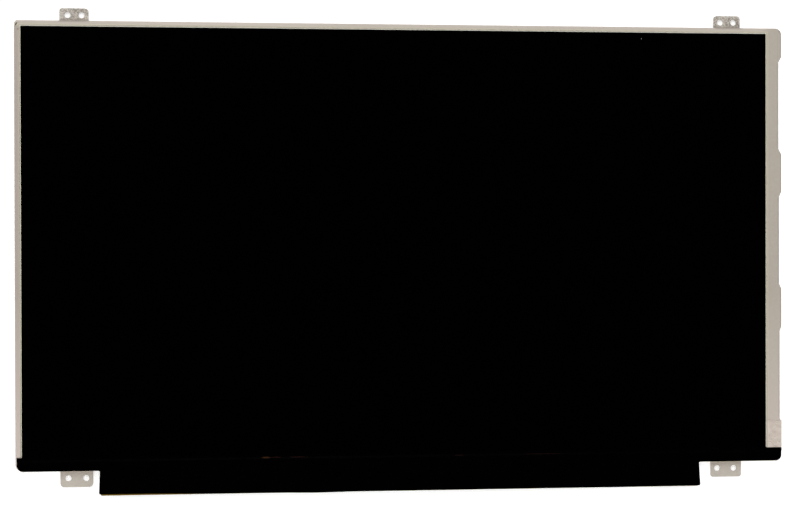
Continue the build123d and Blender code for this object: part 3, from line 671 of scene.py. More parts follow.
    def _zone(self) -> bpy.types.NodeTree:
        """Build a soft-edged box: the product over X, Y and Z of two clamped slopes.

        Returns:
            The group.
        """
        sheet, source, target = self._start("soft_zone", self.ZONE_SOCKETS, ("Mask",))
        slopes = []
        for first, second in (("Vector", "Low"), ("High", "Vector")):
            run = sheet.vector("SUBTRACT", source.outputs[first], source.outputs[second])
            rise = sheet.vector("ADD", sheet.vector("DIVIDE", run, source.outputs["Soft"]), (0.5, 0.5, 0.5))
            low = sheet.vector("MAXIMUM", rise, (0.0, 0.0, 0.0))
            slopes.append(sheet.vector("MINIMUM", low, (1.0, 1.0, 1.0)))
        parts = sheet.add("ShaderNodeSeparateXYZ")
        sheet.link(sheet.vector("MULTIPLY", *slopes), parts.inputs[0])
        flat = sheet.math("MULTIPLY", parts.outputs[0], parts.outputs[1])
        sheet.link(sheet.math("MULTIPLY", flat, parts.outputs[2]), target.inputs["Mask"])
        return sheet.tree


# A bound far outside the panel, and the span of an axis that a zone takes whole
FAR = 1000.0
ALL: Pair = (-FAR, FAR)


@dataclass(frozen=True)
class Zone:
    """A soft-edged box of a surface, in millimetres, that takes a share of a tone of its own."""

    tone: Rgb
    soft: Triple
    share: float = 1.0
    x: Pair = ALL
    y: Pair = ALL
    z: Pair = ALL

    def lay(self, sheet: NodeSheet, book: PatternBook, place: bpy.types.NodeSocket,
            colour: bpy.types.NodeSocket) -> bpy.types.NodeSocket:
        """Lay the zone's tone over a colour.

        Args:
            sheet: sheet of the material.
            book: the shared patterns.
            place: object coordinates.
            colour: the colour so far.

        Returns:
            The colour with the zone in it.
        """
        box = sheet.add("ShaderNodeGroup", node_tree=book.zone)
        sheet.link(place, box.inputs["Vector"])
        low, high = zip(self.x, self.y, self.z)
        for label, values in (("Low", low), ("High", high), ("Soft", self.soft)):
            box.inputs[label].default_value = tuple(value * MM for value in values)
        share = sheet.math("MULTIPLY", box.outputs["Mask"], self.share)
        return sheet.mix(share, colour, linear(self.tone))


@dataclass(frozen=True)
class Finish:
    """A finish: two tones that a pattern mixes, its gloss, its relief and its toned zones."""

    name: str
    tone: Rgb
    second: Rgb
    gloss: Pair = (0.5, 0.6)
    pattern: Pattern = Pattern.GRAIN
    scale: float = 1500.0
    contrast: float = 2.0
    relief: float = 0.006
    metallic: float = 0.0
    specular: float = 0.5
    alpha: float = 1.0
    coat: float = 0.0
    zones: tuple[Zone, ...] = ()

    def build(self, book: PatternBook) -> bpy.types.Material:
        """Make the finish's material.

        Args:
            book: the shared patterns.

        Returns:
            The new material.
        """
        material = bpy.data.materials.new(self.name)
        material.use_nodes = True
        sheet = NodeSheet(material.node_tree)
        surface = material.node_tree.nodes["Principled BSDF"]
        place = sheet.add("ShaderNodeTexCoord").outputs["Object"]
        pattern = sheet.add("ShaderNodeGroup", node_tree=book.groups[self.pattern])
        sheet.link(place, pattern.inputs["Vector"])
        pattern.inputs["Scale"].default_value = self.scale
        pattern.inputs["Contrast"].default_value = self.contrast
        mask = pattern.outputs["Mask"]
        colour = sheet.mix(mask, linear(self.tone), linear(self.second))
        for zone in self.zones:
            colour = zone.lay(sheet, book, place, colour)
        sheet.link(colour, surface.inputs["Base Color"])
        rough = sheet.math("MULTIPLY_ADD", mask, self.gloss[1] - self.gloss[0], self.gloss[0])
        sheet.link(rough, surface.inputs["Roughness"])
        bump = sheet.add("ShaderNodeBump")
        bump.inputs["Distance"].default_value = self.relief * MM
        sheet.link(pattern.outputs["Height"], bump.inputs["Height"])
        sheet.link(bump.outputs["Normal"], surface.inputs["Normal"])
        surface.inputs["Metallic"].default_value = self.metallic
        surface.inputs["Specular IOR Level"].default_value = self.specular
        surface.inputs["Alpha"].default_value = self.alpha
        surface.inputs["Coat Weight"].default_value = self.coat
        return material


# Painted light and painted shade on the frame's moulding, and one real brown dot
FRAME_ZONES = (
    # Painted shade on the left rail, and painted light that lightens both side rails downwards
    Zone((174, 159, 152), (4.0, 1.0, 1.0), 0.4, x=(-FAR, -170.0)),
    Zone((205, 193, 183), (1.0, 90.0, 1.0), x=(0.0, FAR), y=(-FAR, -64.0)),
    Zone((211, 198, 189), (1.0, 90.0, 1.0), x=(-FAR, 0.0), y=(-FAR, -62.0)),
    # Painted light on the top rail, its outer half and its palest stretch
    Zone((194, 185, 173), (6.0, 0.5, 1.0), x=(-FAR, 172.0), y=(103.5, FAR)),
    Zone((199, 189, 179), (8.0, 0.6, 1.0), x=(-FAR, 172.0), y=(104.85, FAR)),
    Zone((212, 201, 191), (30.0, 0.6, 1.0), 0.6, x=(-130.0, -45.0), y=(104.4, FAR)),
    # Painted light on the inner edges of the top, right and left rails, where the ledge lies in shade
    Zone((208, 200, 180), (0.4, 0.3, 1.0), 0.8, x=(-FAR, 172.8), y=(103.5, 104.3)),
    Zone((199, 190, 166), (0.3, 0.3, 1.0), 0.6, x=(172.3, 173.2), y=(-FAR, 104.3)),
    Zone((198, 191, 172), (0.3, 0.3, 1.0), 0.5, x=(-177.8, -177.2), y=(-FAR, 104.3)),
    # Painted shade on the top rail in front of the two ears, where it meets them
    Zone((140, 130, 121), (2.0, 0.5, 1.0), 0.65, x=(-159.6, -146.5), y=(105.3, FAR)),
    Zone((144, 134, 125), (2.0, 0.5, 1.0), 0.65, x=(147.5, 160.2), y=(105.3, FAR)),
    # Painted shade on the upper right corner, on the faint line beside it and on the outer edge of the
    # lugs, where the edges fall away
    Zone((140, 129, 118), (0.8, 0.8, 1.0), 0.6, x=(178.4, FAR), y=(103.8, FAR)),
    Zone((168, 164, 150), (0.3, 1.0, 0.1), 0.6, x=(177.7, 178.05), y=(91.0, 103.0), z=(3.0, FAR)),
    Zone((152, 142, 133), (0.5, 1.0, 1.0), 0.8, x=(179.2, FAR)),
    # Painted shade on the lips of the three recesses
    Zone((156, 147, 137), (0.8, 0.8, 1.0), 0.8, x=(177.75, FAR), y=(48.5, 89.5)),
    Zone((156, 147, 137), (0.8, 0.8, 1.0), 0.8, x=(178.05, FAR), y=(-15.5, 25.3)),
    Zone((172, 160, 148), (0.8, 0.8, 1.0), 0.8, x=(178.35, FAR), y=(-79.7, -38.9)),
    # Painted shade standing in for the notch in the upper left corner, and the brown dot below it
    Zone((112, 104, 98), (0.3, 0.4, 0.1), 0.8, x=(-179.05, -178.4), y=(103.6, 104.6), z=(3.0, 3.5)),
    Zone((112, 78, 58), (0.4, 0.4, 0.1), 0.8, x=(-178.3, -177.6), y=(101.55, 101.95), z=(3.0, FAR)),
)
BOARD_EDGE = Zone((112, 86, 26), (1.0, 0.2, 0.1), y=(-FAR, -111.1), z=(2.53, FAR))
# Painted light: the glass lip along the top rail is made paler to make up for the rail's shade on it
TOP_LIP_PAINTED_LIGHT = Zone((252, 249, 236), (1.0, 0.2, 1.0), y=(103.0, FAR))
# Painted glint: the brightest of the warm glints on the tape's step
BRIGHTEST_GLINT_ZONE = Zone((48, 28, 9), (1.6, 1.0, 1.0), x=(-67.6, -64.4))
# Painted shade: the top ears darken at their foot, where the frame's edge shades them
EAR_FOOT_PAINTED_SHADE = Zone((154, 145, 134), (1.0, 1.0, 1.0), 0.5, y=(-FAR, 107.0))
LAMP_FACE = Zone((246, 214, 92), (1.0, 0.1, 1.0), y=(-96.35, FAR))


class Finishes(Enum):
    """Every finish of the panel."""

    FRAME = Finish("frame_moulding", (178, 169, 158), (183, 175, 163), (0.5, 0.6), scale=900.0,
                   contrast=2.2, relief=0.008, specular=0.3, zones=FRAME_ZONES)
    COVER = Finish("rolled_sheet", (182, 182, 181), (196, 196, 194), (0.3, 0.44), Pattern.ROLLED,
                   2600.0, 2.5, 0.006, 1.0)
    EAR_TOP = Finish("stamped_sheet_coarse", (133, 125, 116), (230, 222, 211), (0.5, 0.65),
                     scale=1900.0, contrast=5.0, relief=0.015, metallic=0.1, zones=(EAR_FOOT_PAINTED_SHADE,))
    EAR_BOTTOM = Finish("stamped_sheet_fine", (190, 182, 171), (204, 196, 185), (0.5, 0.6),
                        scale=900.0, contrast=2.2, relief=0.008, metallic=0.1)
    DISPLAY = Finish("display_film", (0, 0, 0), (1, 1, 1), (0.05, 0.08), scale=4000.0, relief=0.0005,
                     specular=0.25)
    GLASS = Finish("clear_glass", (232, 228, 206), (240, 236, 214), (0.08, 0.12), scale=300.0,
                   relief=0.0005, alpha=0.97, zones=(TOP_LIP_PAINTED_LIGHT,))
    TAPE = Finish("black_tape", (0, 0, 0), (2, 2, 2), (0.12, 0.18), scale=2200.0, relief=0.001,
                  specular=0.05)
    PALE_TAPE = Finish("pale_tape", (202, 189, 178), (218, 206, 195), (0.4, 0.54), scale=420.0,
                       contrast=3.4, relief=0.01, specular=0.4)
    WHITE_FILM = Finish("white_film", (236, 236, 234), (245, 245, 243), (0.5, 0.6), scale=3000.0)
    PRISM_FILM = Finish("ribbed_film", (214, 217, 220), (236, 238, 240), (0.18, 0.3), Pattern.LINES,
                        4000.0, 1.0, 0.02)
    GUIDE = Finish("light_guide", (222, 231, 233), (240, 244, 245), (0.06, 0.4), Pattern.DOTS, 900.0,
                   6.0, 0.004, alpha=0.6)
    AMBER = Finish("amber_film", (142, 84, 28), (204, 138, 66), (0.25, 0.35), Pattern.LINES, 2000.0,
                   3.0, 0.006, coat=0.3)
    LAMP = Finish("lamp_body", (238, 234, 222), (246, 243, 234), (0.4, 0.5), zones=(LAMP_FACE,))
    LAMINATE = Finish("board_lacquer", (18, 74, 42), (28, 98, 56), (0.25, 0.4), scale=700.0,
                      contrast=2.5, relief=0.006, zones=(BOARD_EDGE,))
    RESIN = Finish("chip_resin", (30, 30, 31), (44, 44, 45), (0.5, 0.62), scale=5000.0, relief=0.01)
    FERRITE = Finish("ferrite", (54, 54, 57), (76, 76, 78), (0.6, 0.75), scale=3500.0, relief=0.015)
    TAN_CERAMIC = Finish("tan_ceramic", (160, 126, 84), (184, 150, 108), (0.45, 0.55), scale=4000.0)
    DARK_CERAMIC = Finish("dark_ceramic", (20, 20, 22), (34, 34, 37), (0.3, 0.42), scale=4000.0)
    IVORY = Finish("ivory_moulding", (222, 212, 186), (232, 223, 200), (0.4, 0.5), scale=2500.0)
    TINNED = Finish("tinned_sheet", (186, 186, 183), (208, 208, 205), (0.26, 0.4), Pattern.ROLLED,
                    3000.0, 2.0, 0.004, 1.0)
    GOLD = Finish("gold_flash", (206, 164, 82), (226, 190, 116), (0.22, 0.34), scale=6000.0,
                  metallic=1.0)
    COPPER = Finish("lacquered_copper", (34, 108, 62), (46, 124, 72), (0.22, 0.34), scale=3000.0)
    DUST = Finish("dust", (205, 203, 198), (228, 226, 222), (0.8, 0.9), scale=9000.0)
    # Painted glints: warm highlights along the tape's step, laid on as thin streaks
    PAINTED_GLINT_FINISH = Finish("painted_glint_tape", (15, 1, 1), (24, 3, 2), (0.4, 0.55), scale=1200.0, contrast=3.0,
                    specular=0.02, zones=(BRIGHTEST_GLINT_ZONE,))


class Wardrobe:
    """Makes each finish once and puts it on solids and pieces."""

    def __init__(self) -> None:
        """Start with the shared patterns and no finish."""
        self.book = PatternBook()
        self.made: dict[Finishes, bpy.types.Material] = {}

    def material(self, finish: Finishes) -> bpy.types.Material:
        """Make a finish at its first use and give it back after that.

        Args:
            finish: the finish.

        Returns:
            Its material.
        """
        if finish not in self.made:
            self.made[finish] = finish.value.build(self.book)
        return self.made[finish]

    def dress(self, finish: Finishes, nodes: Sequence[str]) -> None:
        """Put a finish on solids.

        Args:
            finish: the finish.
            nodes: names of the solids.
        """
        for name in nodes:
            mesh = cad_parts[name].data
            mesh.materials.clear()
            mesh.materials.append(self.material(finish))
            LOG.info("%s: %s", name, finish.value.name)


@dataclass(frozen=True)
class Lamp:
    """A soft square lamp that faces the panel, in degrees, watts and metres."""

    name: str
    azimuth: float
    elevation: float
    watts: float
    distance: float = 3.0
    side: float = 2.0

    def hang(self) -> None:
        """Hang the lamp at its azimuth and elevation, turned to the middle of the panel."""
        data = bpy.data.lights.new(self.name, "AREA")
        data.shape, data.size, data.energy = "SQUARE", self.side, self.watts
        bearing, up = math.radians(self.azimuth), math.radians(self.elevation)
        lamp = bpy.data.objects.new(self.name, data)
        lamp.location = (
            self.distance * math.cos(up) * math.cos(bearing),
            self.distance * math.cos(up) * math.sin(bearing),
            self.distance * math.sin(up),
        )
        lamp.rotation_euler = (0.0, math.pi / 2.0 - up, bearing)
        lamp.visible_camera = False
        bpy.context.scene.collection.objects.link(lamp)


@dataclass
class Studio:
    """Floor, sky, lamps and the camera that stands where the picture was taken."""

    eye: Triple = (-69.24, 2.09, 716.33)
    turn: Triple = (-0.331, -5.293, -0.12)
    focal_pixels: float = 1534.0
    picture_width: float = 800.0
    sensor: float = 36.0
    clip: Pair = (0.01, 100.0)
    floor_side: float = 16.0
    floor_points: int = 3
    floor_drop: float = 0.1
    floor_tone: float = 0.8
    floor_rough: float = 0.9
    floor_glow: float = 0.55
    lamps: tuple[Lamp, ...] = (
        Lamp("top_lamp", 90.0, 44.0, 53.0),
        Lamp("bottom_lamp", 270.0, 20.0, 50.0, side=0.8),
        Lamp("left_lamp", 180.0, 40.0, 19.0, side=1.6),
        Lamp("right_lamp", 0.0, 40.0, 12.0, side=1.6),
    )
    sky_edge: float = 0.25
    sky_top: float = 0.6
    sky_dim: float = 0.004

    def build(self) -> None:
        """Make the whole studio."""
        bpy.context.scene.view_settings.view_transform = "Standard"
        self.build_camera()
        self.build_floor()
        self.build_sky()
        for lamp in self.lamps:
            lamp.hang()

    def build_camera(self) -> None:
        """Set the camera by its place, its turn and its focal length in picture points."""
        data = bpy.data.cameras.new("picture_camera")
        data.sensor_width = self.sensor
        data.lens = self.sensor * self.focal_pixels / self.picture_width
        data.clip_start, data.clip_end = self.clip
        camera = bpy.data.objects.new("picture_camera", data)
        camera.location = tuple(value * MM for value in self.eye)
        camera.rotation_euler = tuple(math.radians(angle) for angle in self.turn)
        bpy.context.scene.collection.objects.link(camera)
        bpy.context.scene.camera = camera

    def build_floor(self) -> None:
        """Lay a flat grid just below the panel, in the floor's material."""
        half = self.floor_side / 2.0
        line = np.linspace(-half, half, self.floor_points)
        across, along = np.meshgrid(line, line)
        level = np.full_like(across, -self.floor_drop * MM)
        points = np.stack([across, along, level], axis=-1).reshape(-1, 3)
        cells = grid_cells(self.floor_points, self.floor_points).reshape(-1, 4)
        mesh = bpy.data.meshes.new("floor")
        mesh.from_pydata(points.tolist(), [], cells.tolist())
        mesh.materials.append(self.floor_material())
        floor = bpy.data.objects.new("floor", mesh)
        bpy.context.scene.collection.objects.link(floor)

    def floor_material(self) -> bpy.types.Material:
        """Make a pale floor that shows white to the camera and still takes the panel's shadow.

        Returns:
            The material, which glows only for camera, glossy and transmitted rays.
        """
        material = bpy.data.materials.new("pale_floor")
        material.use_nodes = True
        sheet = NodeSheet(material.node_tree)
        surface = material.node_tree.nodes["Principled BSDF"]
        surface.inputs["Base Color"].default_value = (*[self.floor_tone] * 3, 1.0)
        surface.inputs["Roughness"].default_value = self.floor_rough
        surface.inputs["Specular IOR Level"].default_value = 0.0
        surface.inputs["Emission Color"].default_value = (1.0, 1.0, 1.0, 1.0)
        path = sheet.add("ShaderNodeLightPath")
        seen = sheet.math("MAXIMUM", path.outputs["Is Camera Ray"], path.outputs["Is Glossy Ray"])
        seen = sheet.math("MAXIMUM", seen, path.outputs["Is Transmission Ray"])
        sheet.link(sheet.math("MULTIPLY", seen, self.floor_glow), surface.inputs["Emission Strength"])
        return material

    def build_sky(self) -> None:
        """Make a sky that is white round the horizon and dark overhead, as over a studio table."""
        world = bpy.data.worlds.new("studio_sky")
        world.use_nodes = True
        bpy.context.scene.world = world
        sheet = NodeSheet(world.node_tree)
        parts = sheet.add("ShaderNodeSeparateXYZ")
        sheet.link(sheet.add("ShaderNodeTexCoord").outputs["Generated"], parts.inputs[0])
        fade = sheet.add("ShaderNodeMapRange", interpolation_type="SMOOTHSTEP")
        sheet.link(parts.outputs[2], fade.inputs["Value"])
        fade.inputs["From Min"].default_value = self.sky_edge
        fade.inputs["From Max"].default_value = self.sky_top
        fade.inputs["To Min"].default_value = 1.0
        fade.inputs["To Max"].default_value = self.sky_dim
        sky = world.node_tree.nodes["Background"]
        sky.inputs["Color"].default_value = (1.0, 1.0, 1.0, 1.0)
        sheet.link(fade.outputs[0], sky.inputs["Strength"])


@dataclass
class SubAssembly:
    """Some of the panel's pieces: the finish of each solid among them, and what is added to these."""

    wardrobe: Wardrobe
    solids: ClassVar[dict[Finishes, tuple[str, ...]]] = {}

    def dress(self) -> None:
        """Put its finish on each solid."""
        for finish, nodes in self.solids.items():
            self.wardrobe.dress(finish, nodes)

    def build(self) -> None:
        """Make the added pieces, where there are any."""

    def add(self, name: str, shell: Shell, finish: Finishes, slot: str,
            replaces: Sequence[str] = ()) -> None:
        """Make an added piece in a finish of the wardrobe."""
        make_piece(name, shell, self.wardrobe.material(finish), replaces)


@dataclass
class Housing(SubAssembly):
    """Moulded frame, folded rear cover and the four stamped ears."""

    solids = {
        Finishes.FRAME: ("mould_frame",),
        Finishes.COVER: ("rear_cover",),
        Finishes.EAR_TOP: ("ear_top_left", "ear_top_right"),
        Finishes.EAR_BOTTOM: ("ear_bottom_left", "ear_bottom_right"),
    }


@dataclass
class Display(SubAssembly):
    """Glass and polarisers of the display, and the specks of dust on its face."""

    solids = {
        Finishes.DISPLAY: ("front_polariser", "rear_polariser"),
        Finishes.GLASS: ("array_glass", "colour_filter_glass"),
        Finishes.TAPE: ("rim_tape",),
    }
    specks: tuple[Triple, ...] = ((111.7, 100.15, 0.085), (111.75, 100.55, 0.06))
    speck_flatness: float = 0.4

    def build(self) -> None:
        """Lay the specks of dust on the front film."""
        level = np.full(len(self.specks), extent("front_polariser")[1][2])
        grains = dust(self.specks, level, self.speck_flatness)
        self.add("display_dust", grains, Finishes.DUST, "display_film")


@dataclass
class Backlight(SubAssembly):
    """Sheets, light guide and light bar behind the display."""

    solids = {
        Finishes.WHITE_FILM: ("reflector_sheet", "lower_diffuser_sheet", "upper_diffuser_sheet"),
        Finishes.PRISM_FILM: ("lower_prism_sheet", "upper_prism_sheet"),
        Finishes.GUIDE: ("light_guide_plate",),
        Finishes.AMBER: ("light_bar_flex",),
        Finishes.LAMP: ("light_bar_leds",),
    }


@dataclass
class DriverBoard(SubAssembly):
    """Driver board with its films, chips, small parts and cable socket, and the metal on them."""

    solids = {
        Finishes.LAMINATE: ("driver_board",),
        Finishes.AMBER: ("source_film_left", "source_film_middle", "source_film_right"),
        Finishes.RESIN: ("timing_controller", "power_converter", "backlight_driver", "memory_chip",
                         "source_driver_chips"),
        Finishes.FERRITE: ("power_inductors",),
        Finishes.TAN_CERAMIC: ("chip_capacitors",),
        Finishes.DARK_CERAMIC: ("chip_resistors",),
        Finishes.IVORY: ("signal_connector_housing",),
        Finishes.TINNED: ("signal_connector_shell",),
        Finishes.GOLD: ("signal_connector_contacts",),
    }

    # Leads: Y of a lead's root and of the ends of its two bends, and the height of each bend
    lead_pitch: float = 0.5
    lead_width: float = 0.22
    lead_thickness: float = 0.12
    lead_height: float = 0.35
    lead_bends: tuple[float, ...] = (-0.1, 0.16, 0.22, 0.34, 0.4)
    lead_ease: float = 0.04
    lead_reach: float = 0.75
    controller_leads: int = 16
    memory_leads: int = 7

    # Tinned caps on the small bricks
    cap_share: float = 0.26
    cap_skin: float = 0.025
    cap_edge: float = 0.05
    cap_around: int = 12

    # Copper lines: the bus from socket to controller, and the supply lines along the foot
    trace_skin: float = 0.02
    trace_sink: float = 0.005
    bus_lines: int = 7
    bus_width: float = 0.12
    bus_lane: float = -101.2
    bus_pitch: float = 0.26
    bus_corner: float = 0.5
    bus_socket_inset: float = 2.0
    bus_socket_pitch: float = 1.0
    bus_socket_gap: float = 0.2
    bus_chip_inset: float = 0.8
    bus_chip_pitch: float = 0.5
    bus_chip_gap: float = 0.9
    supply_widths: tuple[float, ...] = (0.7, 0.35, 0.35)
    supply_lane: float = -110.45
    supply_pitch: float = 0.55
    supply_inset: float = 8.0
    supply_socket_gap: float = 2.0

    # Via rings in two narrow strips, and the row of test pads
    seed: int = 7
    via_count: int = 90
    via_size: Triple = (0.12, 0.26, 0.025)
    via_insets: Pair = (7.0, 48.0)
    via_strips: tuple[Pair, Pair] = ((-102.95, -102.8), (-109.75, -109.55))
    pad_count: int = 14
    pad_span: Pair = (-128.0, -52.0)
    pad_lane: float = -106.17
    pad_size: Pair = (0.5, 0.03)
    pad_around: int = 16

    # Solder tabs at the socket's ends
    tab_size: Triple = (1.2, 1.8, 0.22)
    tab_edge: float = 0.06
    tab_around: int = 16
    tab_out: float = 0.55
    tab_up: float = 1.6

    @property
    def back(self) -> float:
        """Level of the board's back, on which the parts sit."""
        return float(extent("driver_board")[0][2])

    def build(self) -> None:
        """Make the metal parts of the board's back."""
        self.add("chip_leads", self.leads(), Finishes.TINNED, "socket_steel")
        self.add("part_end_caps", self.end_caps(), Finishes.TINNED, "socket_steel")
        self.add("board_traces", self.traces(), Finishes.COPPER, "board_laminate")
        self.add("board_pads", self.pads(), Finishes.GOLD, "contact_gold")
        self.add("socket_tabs", self.socket_tabs(), Finishes.TINNED, "socket_steel")

    def lead(self) -> Shell:
        """Make one gull-wing lead: out of the body, down and flat on the board.

        Returns:
            The lead along +Y from the body's side, with the board at Z = 0.
        """
        foot = self.lead_thickness / 2.0
        level = [self.lead_height, self.lead_height, self.lead_height - self.lead_ease,
                 foot + self.lead_ease, foot, foot]
        path = np.stack([[*self.lead_bends, self.lead_reach], level], axis=-1)
        return strip(path, self.lead_width, self.lead_thickness)

    def lead_row(self, node: str, count: int, side: tuple[int, int]) -> Shell:
        """Make a row of leads along one side of a chip.

        Args:
            node: name of the chip.
            count: leads in the row.
            side: outward direction in X and Y.

        Returns:
            The row.
        """
        low, high = extent(node)
        middle, half = (low + high) / 2.0, (high - low) / 2.0
        down = np.array([0.0, 0.0, -1.0])
        out = np.array([side[0], side[1], 0.0])
        along = np.array([-side[1], side[0], 0.0])
        place = (np.arange(count) - (count - 1) / 2.0) * self.lead_pitch
        reach = abs(side[0]) * half[0] + abs(side[1]) * half[1]
        root = np.array([middle[0], middle[1], self.back]) + out * reach
        turn = np.stack([np.cross(out, down), out, down], axis=-1)
        return self.lead().copies(root + place[:, None] * along, turn)

    def leads(self) -> Shell:
        """Put leads on the controller's four sides and on two sides of the memory chip.

        Returns:
            All the leads.
        """
        ends, flanks = ((1, 0), (-1, 0)), ((0, 1), (0, -1))
        rows = [self.lead_row("timing_controller", self.controller_leads, side) for side in ends + flanks]
        rows += [self.lead_row("memory_chip", self.memory_leads, side) for side in ends]
        return joined(rows)

    def bricks(self, node: str) -> tuple[Array, Array]:
        """Find the bricks of a group node, which stand in rows and columns.

        The rounded X of all their corners, sorted and without doubles, are the two sides of each
        column in turn, and the Y are those of each row.

        Args:
            node: name of the group.

        Returns:
            The middles of its bricks on the board, and the size of one.
        """
        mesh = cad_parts[node].data
        points = np.empty(len(mesh.vertices) * 3)
        mesh.vertices.foreach_get("co", points)
        points = np.round(points.reshape(-1, 3) / MM, 3)
        columns, rows = (np.unique(points[:, axis]).reshape(-1, 2) for axis in (0, 1))
        size = np.array([np.ptp(columns[0]), np.ptp(rows[0]), np.ptp(points[:, 2])])
        x, y = np.meshgrid(columns.mean(axis=1), rows.mean(axis=1))
        return np.stack([x.ravel(), y.ravel(), np.full(x.size, self.back)], axis=-1), size

    def end_caps(self) -> Shell:
        """Put a tinned cap on both ends of every small brick.

        Returns:
            All the caps.
        """
        shells = []
        for node in ("chip_capacitors", "chip_resistors"):
            middles, size = self.bricks(node)
            length = size[1] * self.cap_share
            block = (size[0] + 2 * self.cap_skin, length, size[2] + self.cap_skin)
            cap = rounded_block(block, self.cap_edge, self.cap_around)
            for sign in (-1.0, 1.0):
                shift = np.array([0.0, sign * (size[1] / 2.0 - length / 2.0 + self.cap_skin), 0.0])
                shells.append(cap.copies(middles + shift, FACE_DOWN))
        return joined(shells)

    def traces(self) -> Shell:
        """Run copper lines under the lacquer: a bus from socket to controller, and supply lines.

        Returns:
            All the lines.
        """
        levels = (self.back - self.trace_skin, self.back + self.trace_sink)
        socket, chip = extent("signal_connector_contacts"), extent("timing_controller")
        bend = self.bus_corner
        shells = []
        for number in range(self.bus_lines):
            lane = self.bus_lane - self.bus_pitch * number
            start = socket[0][0] + self.bus_socket_inset + self.bus_socket_pitch * number
            end = chip[1][0] - self.bus_chip_inset - self.bus_chip_pitch * number
            path = np.array([[end, chip[1][1] + self.bus_chip_gap], [end, lane - bend], [end + bend, lane],
                             [start - bend, lane], [start, lane - bend],
                             [start, socket[1][1] + self.bus_socket_gap]])
            shells.append(ribbon(path, self.bus_width, *levels))
        left = extent("driver_board")[0][0] + self.supply_inset
        right = extent("signal_connector_shell")[0][0] - self.supply_socket_gap
        for number, width in enumerate(self.supply_widths):
            lane = self.supply_lane - self.supply_pitch * number
            shells.append(ribbon(np.array([[left, lane], [right, lane]]), width, *levels))
        return joined(shells)

    def pads(self) -> Shell:
        """Scatter via rings over two free strips of the board and set a row of round test pads.

        Returns:
            The rings and the pads.
        """
        chance = np.random.default_rng(self.seed)
        count = self.via_count
        low, high = extent("driver_board")
        x = chance.uniform(low[0] + self.via_insets[0], high[0] - self.via_insets[1], count)
        y = np.where(chance.random(count) < 0.5, chance.uniform(*self.via_strips[0], count),
                     chance.uniform(*self.via_strips[1], count))
        places = np.stack([x, y, np.full(count, self.back)], axis=-1)
        rings = flat_ring(*self.via_size).copies(places, FACE_DOWN)
        row = np.linspace([self.pad_span[0], self.pad_lane, self.back],
                          [self.pad_span[1], self.pad_lane, self.back], self.pad_count)
        return joined([rings, flat_grain(*self.pad_size, self.pad_around).copies(row, FACE_DOWN)])

    def socket_tabs(self) -> Shell:
        """Solder a tab to the board at each end of the cable socket.

        Returns:
            Both tabs.
        """
        low, high = extent("signal_connector_shell")
        up = low[1] + self.tab_up
        places = np.array([[low[0] - self.tab_out, up, self.back], [high[0] + self.tab_out, up, self.back]])
        tab = rounded_block(self.tab_size, self.tab_edge, self.tab_around)
        return tab.copies(places, FACE_DOWN)


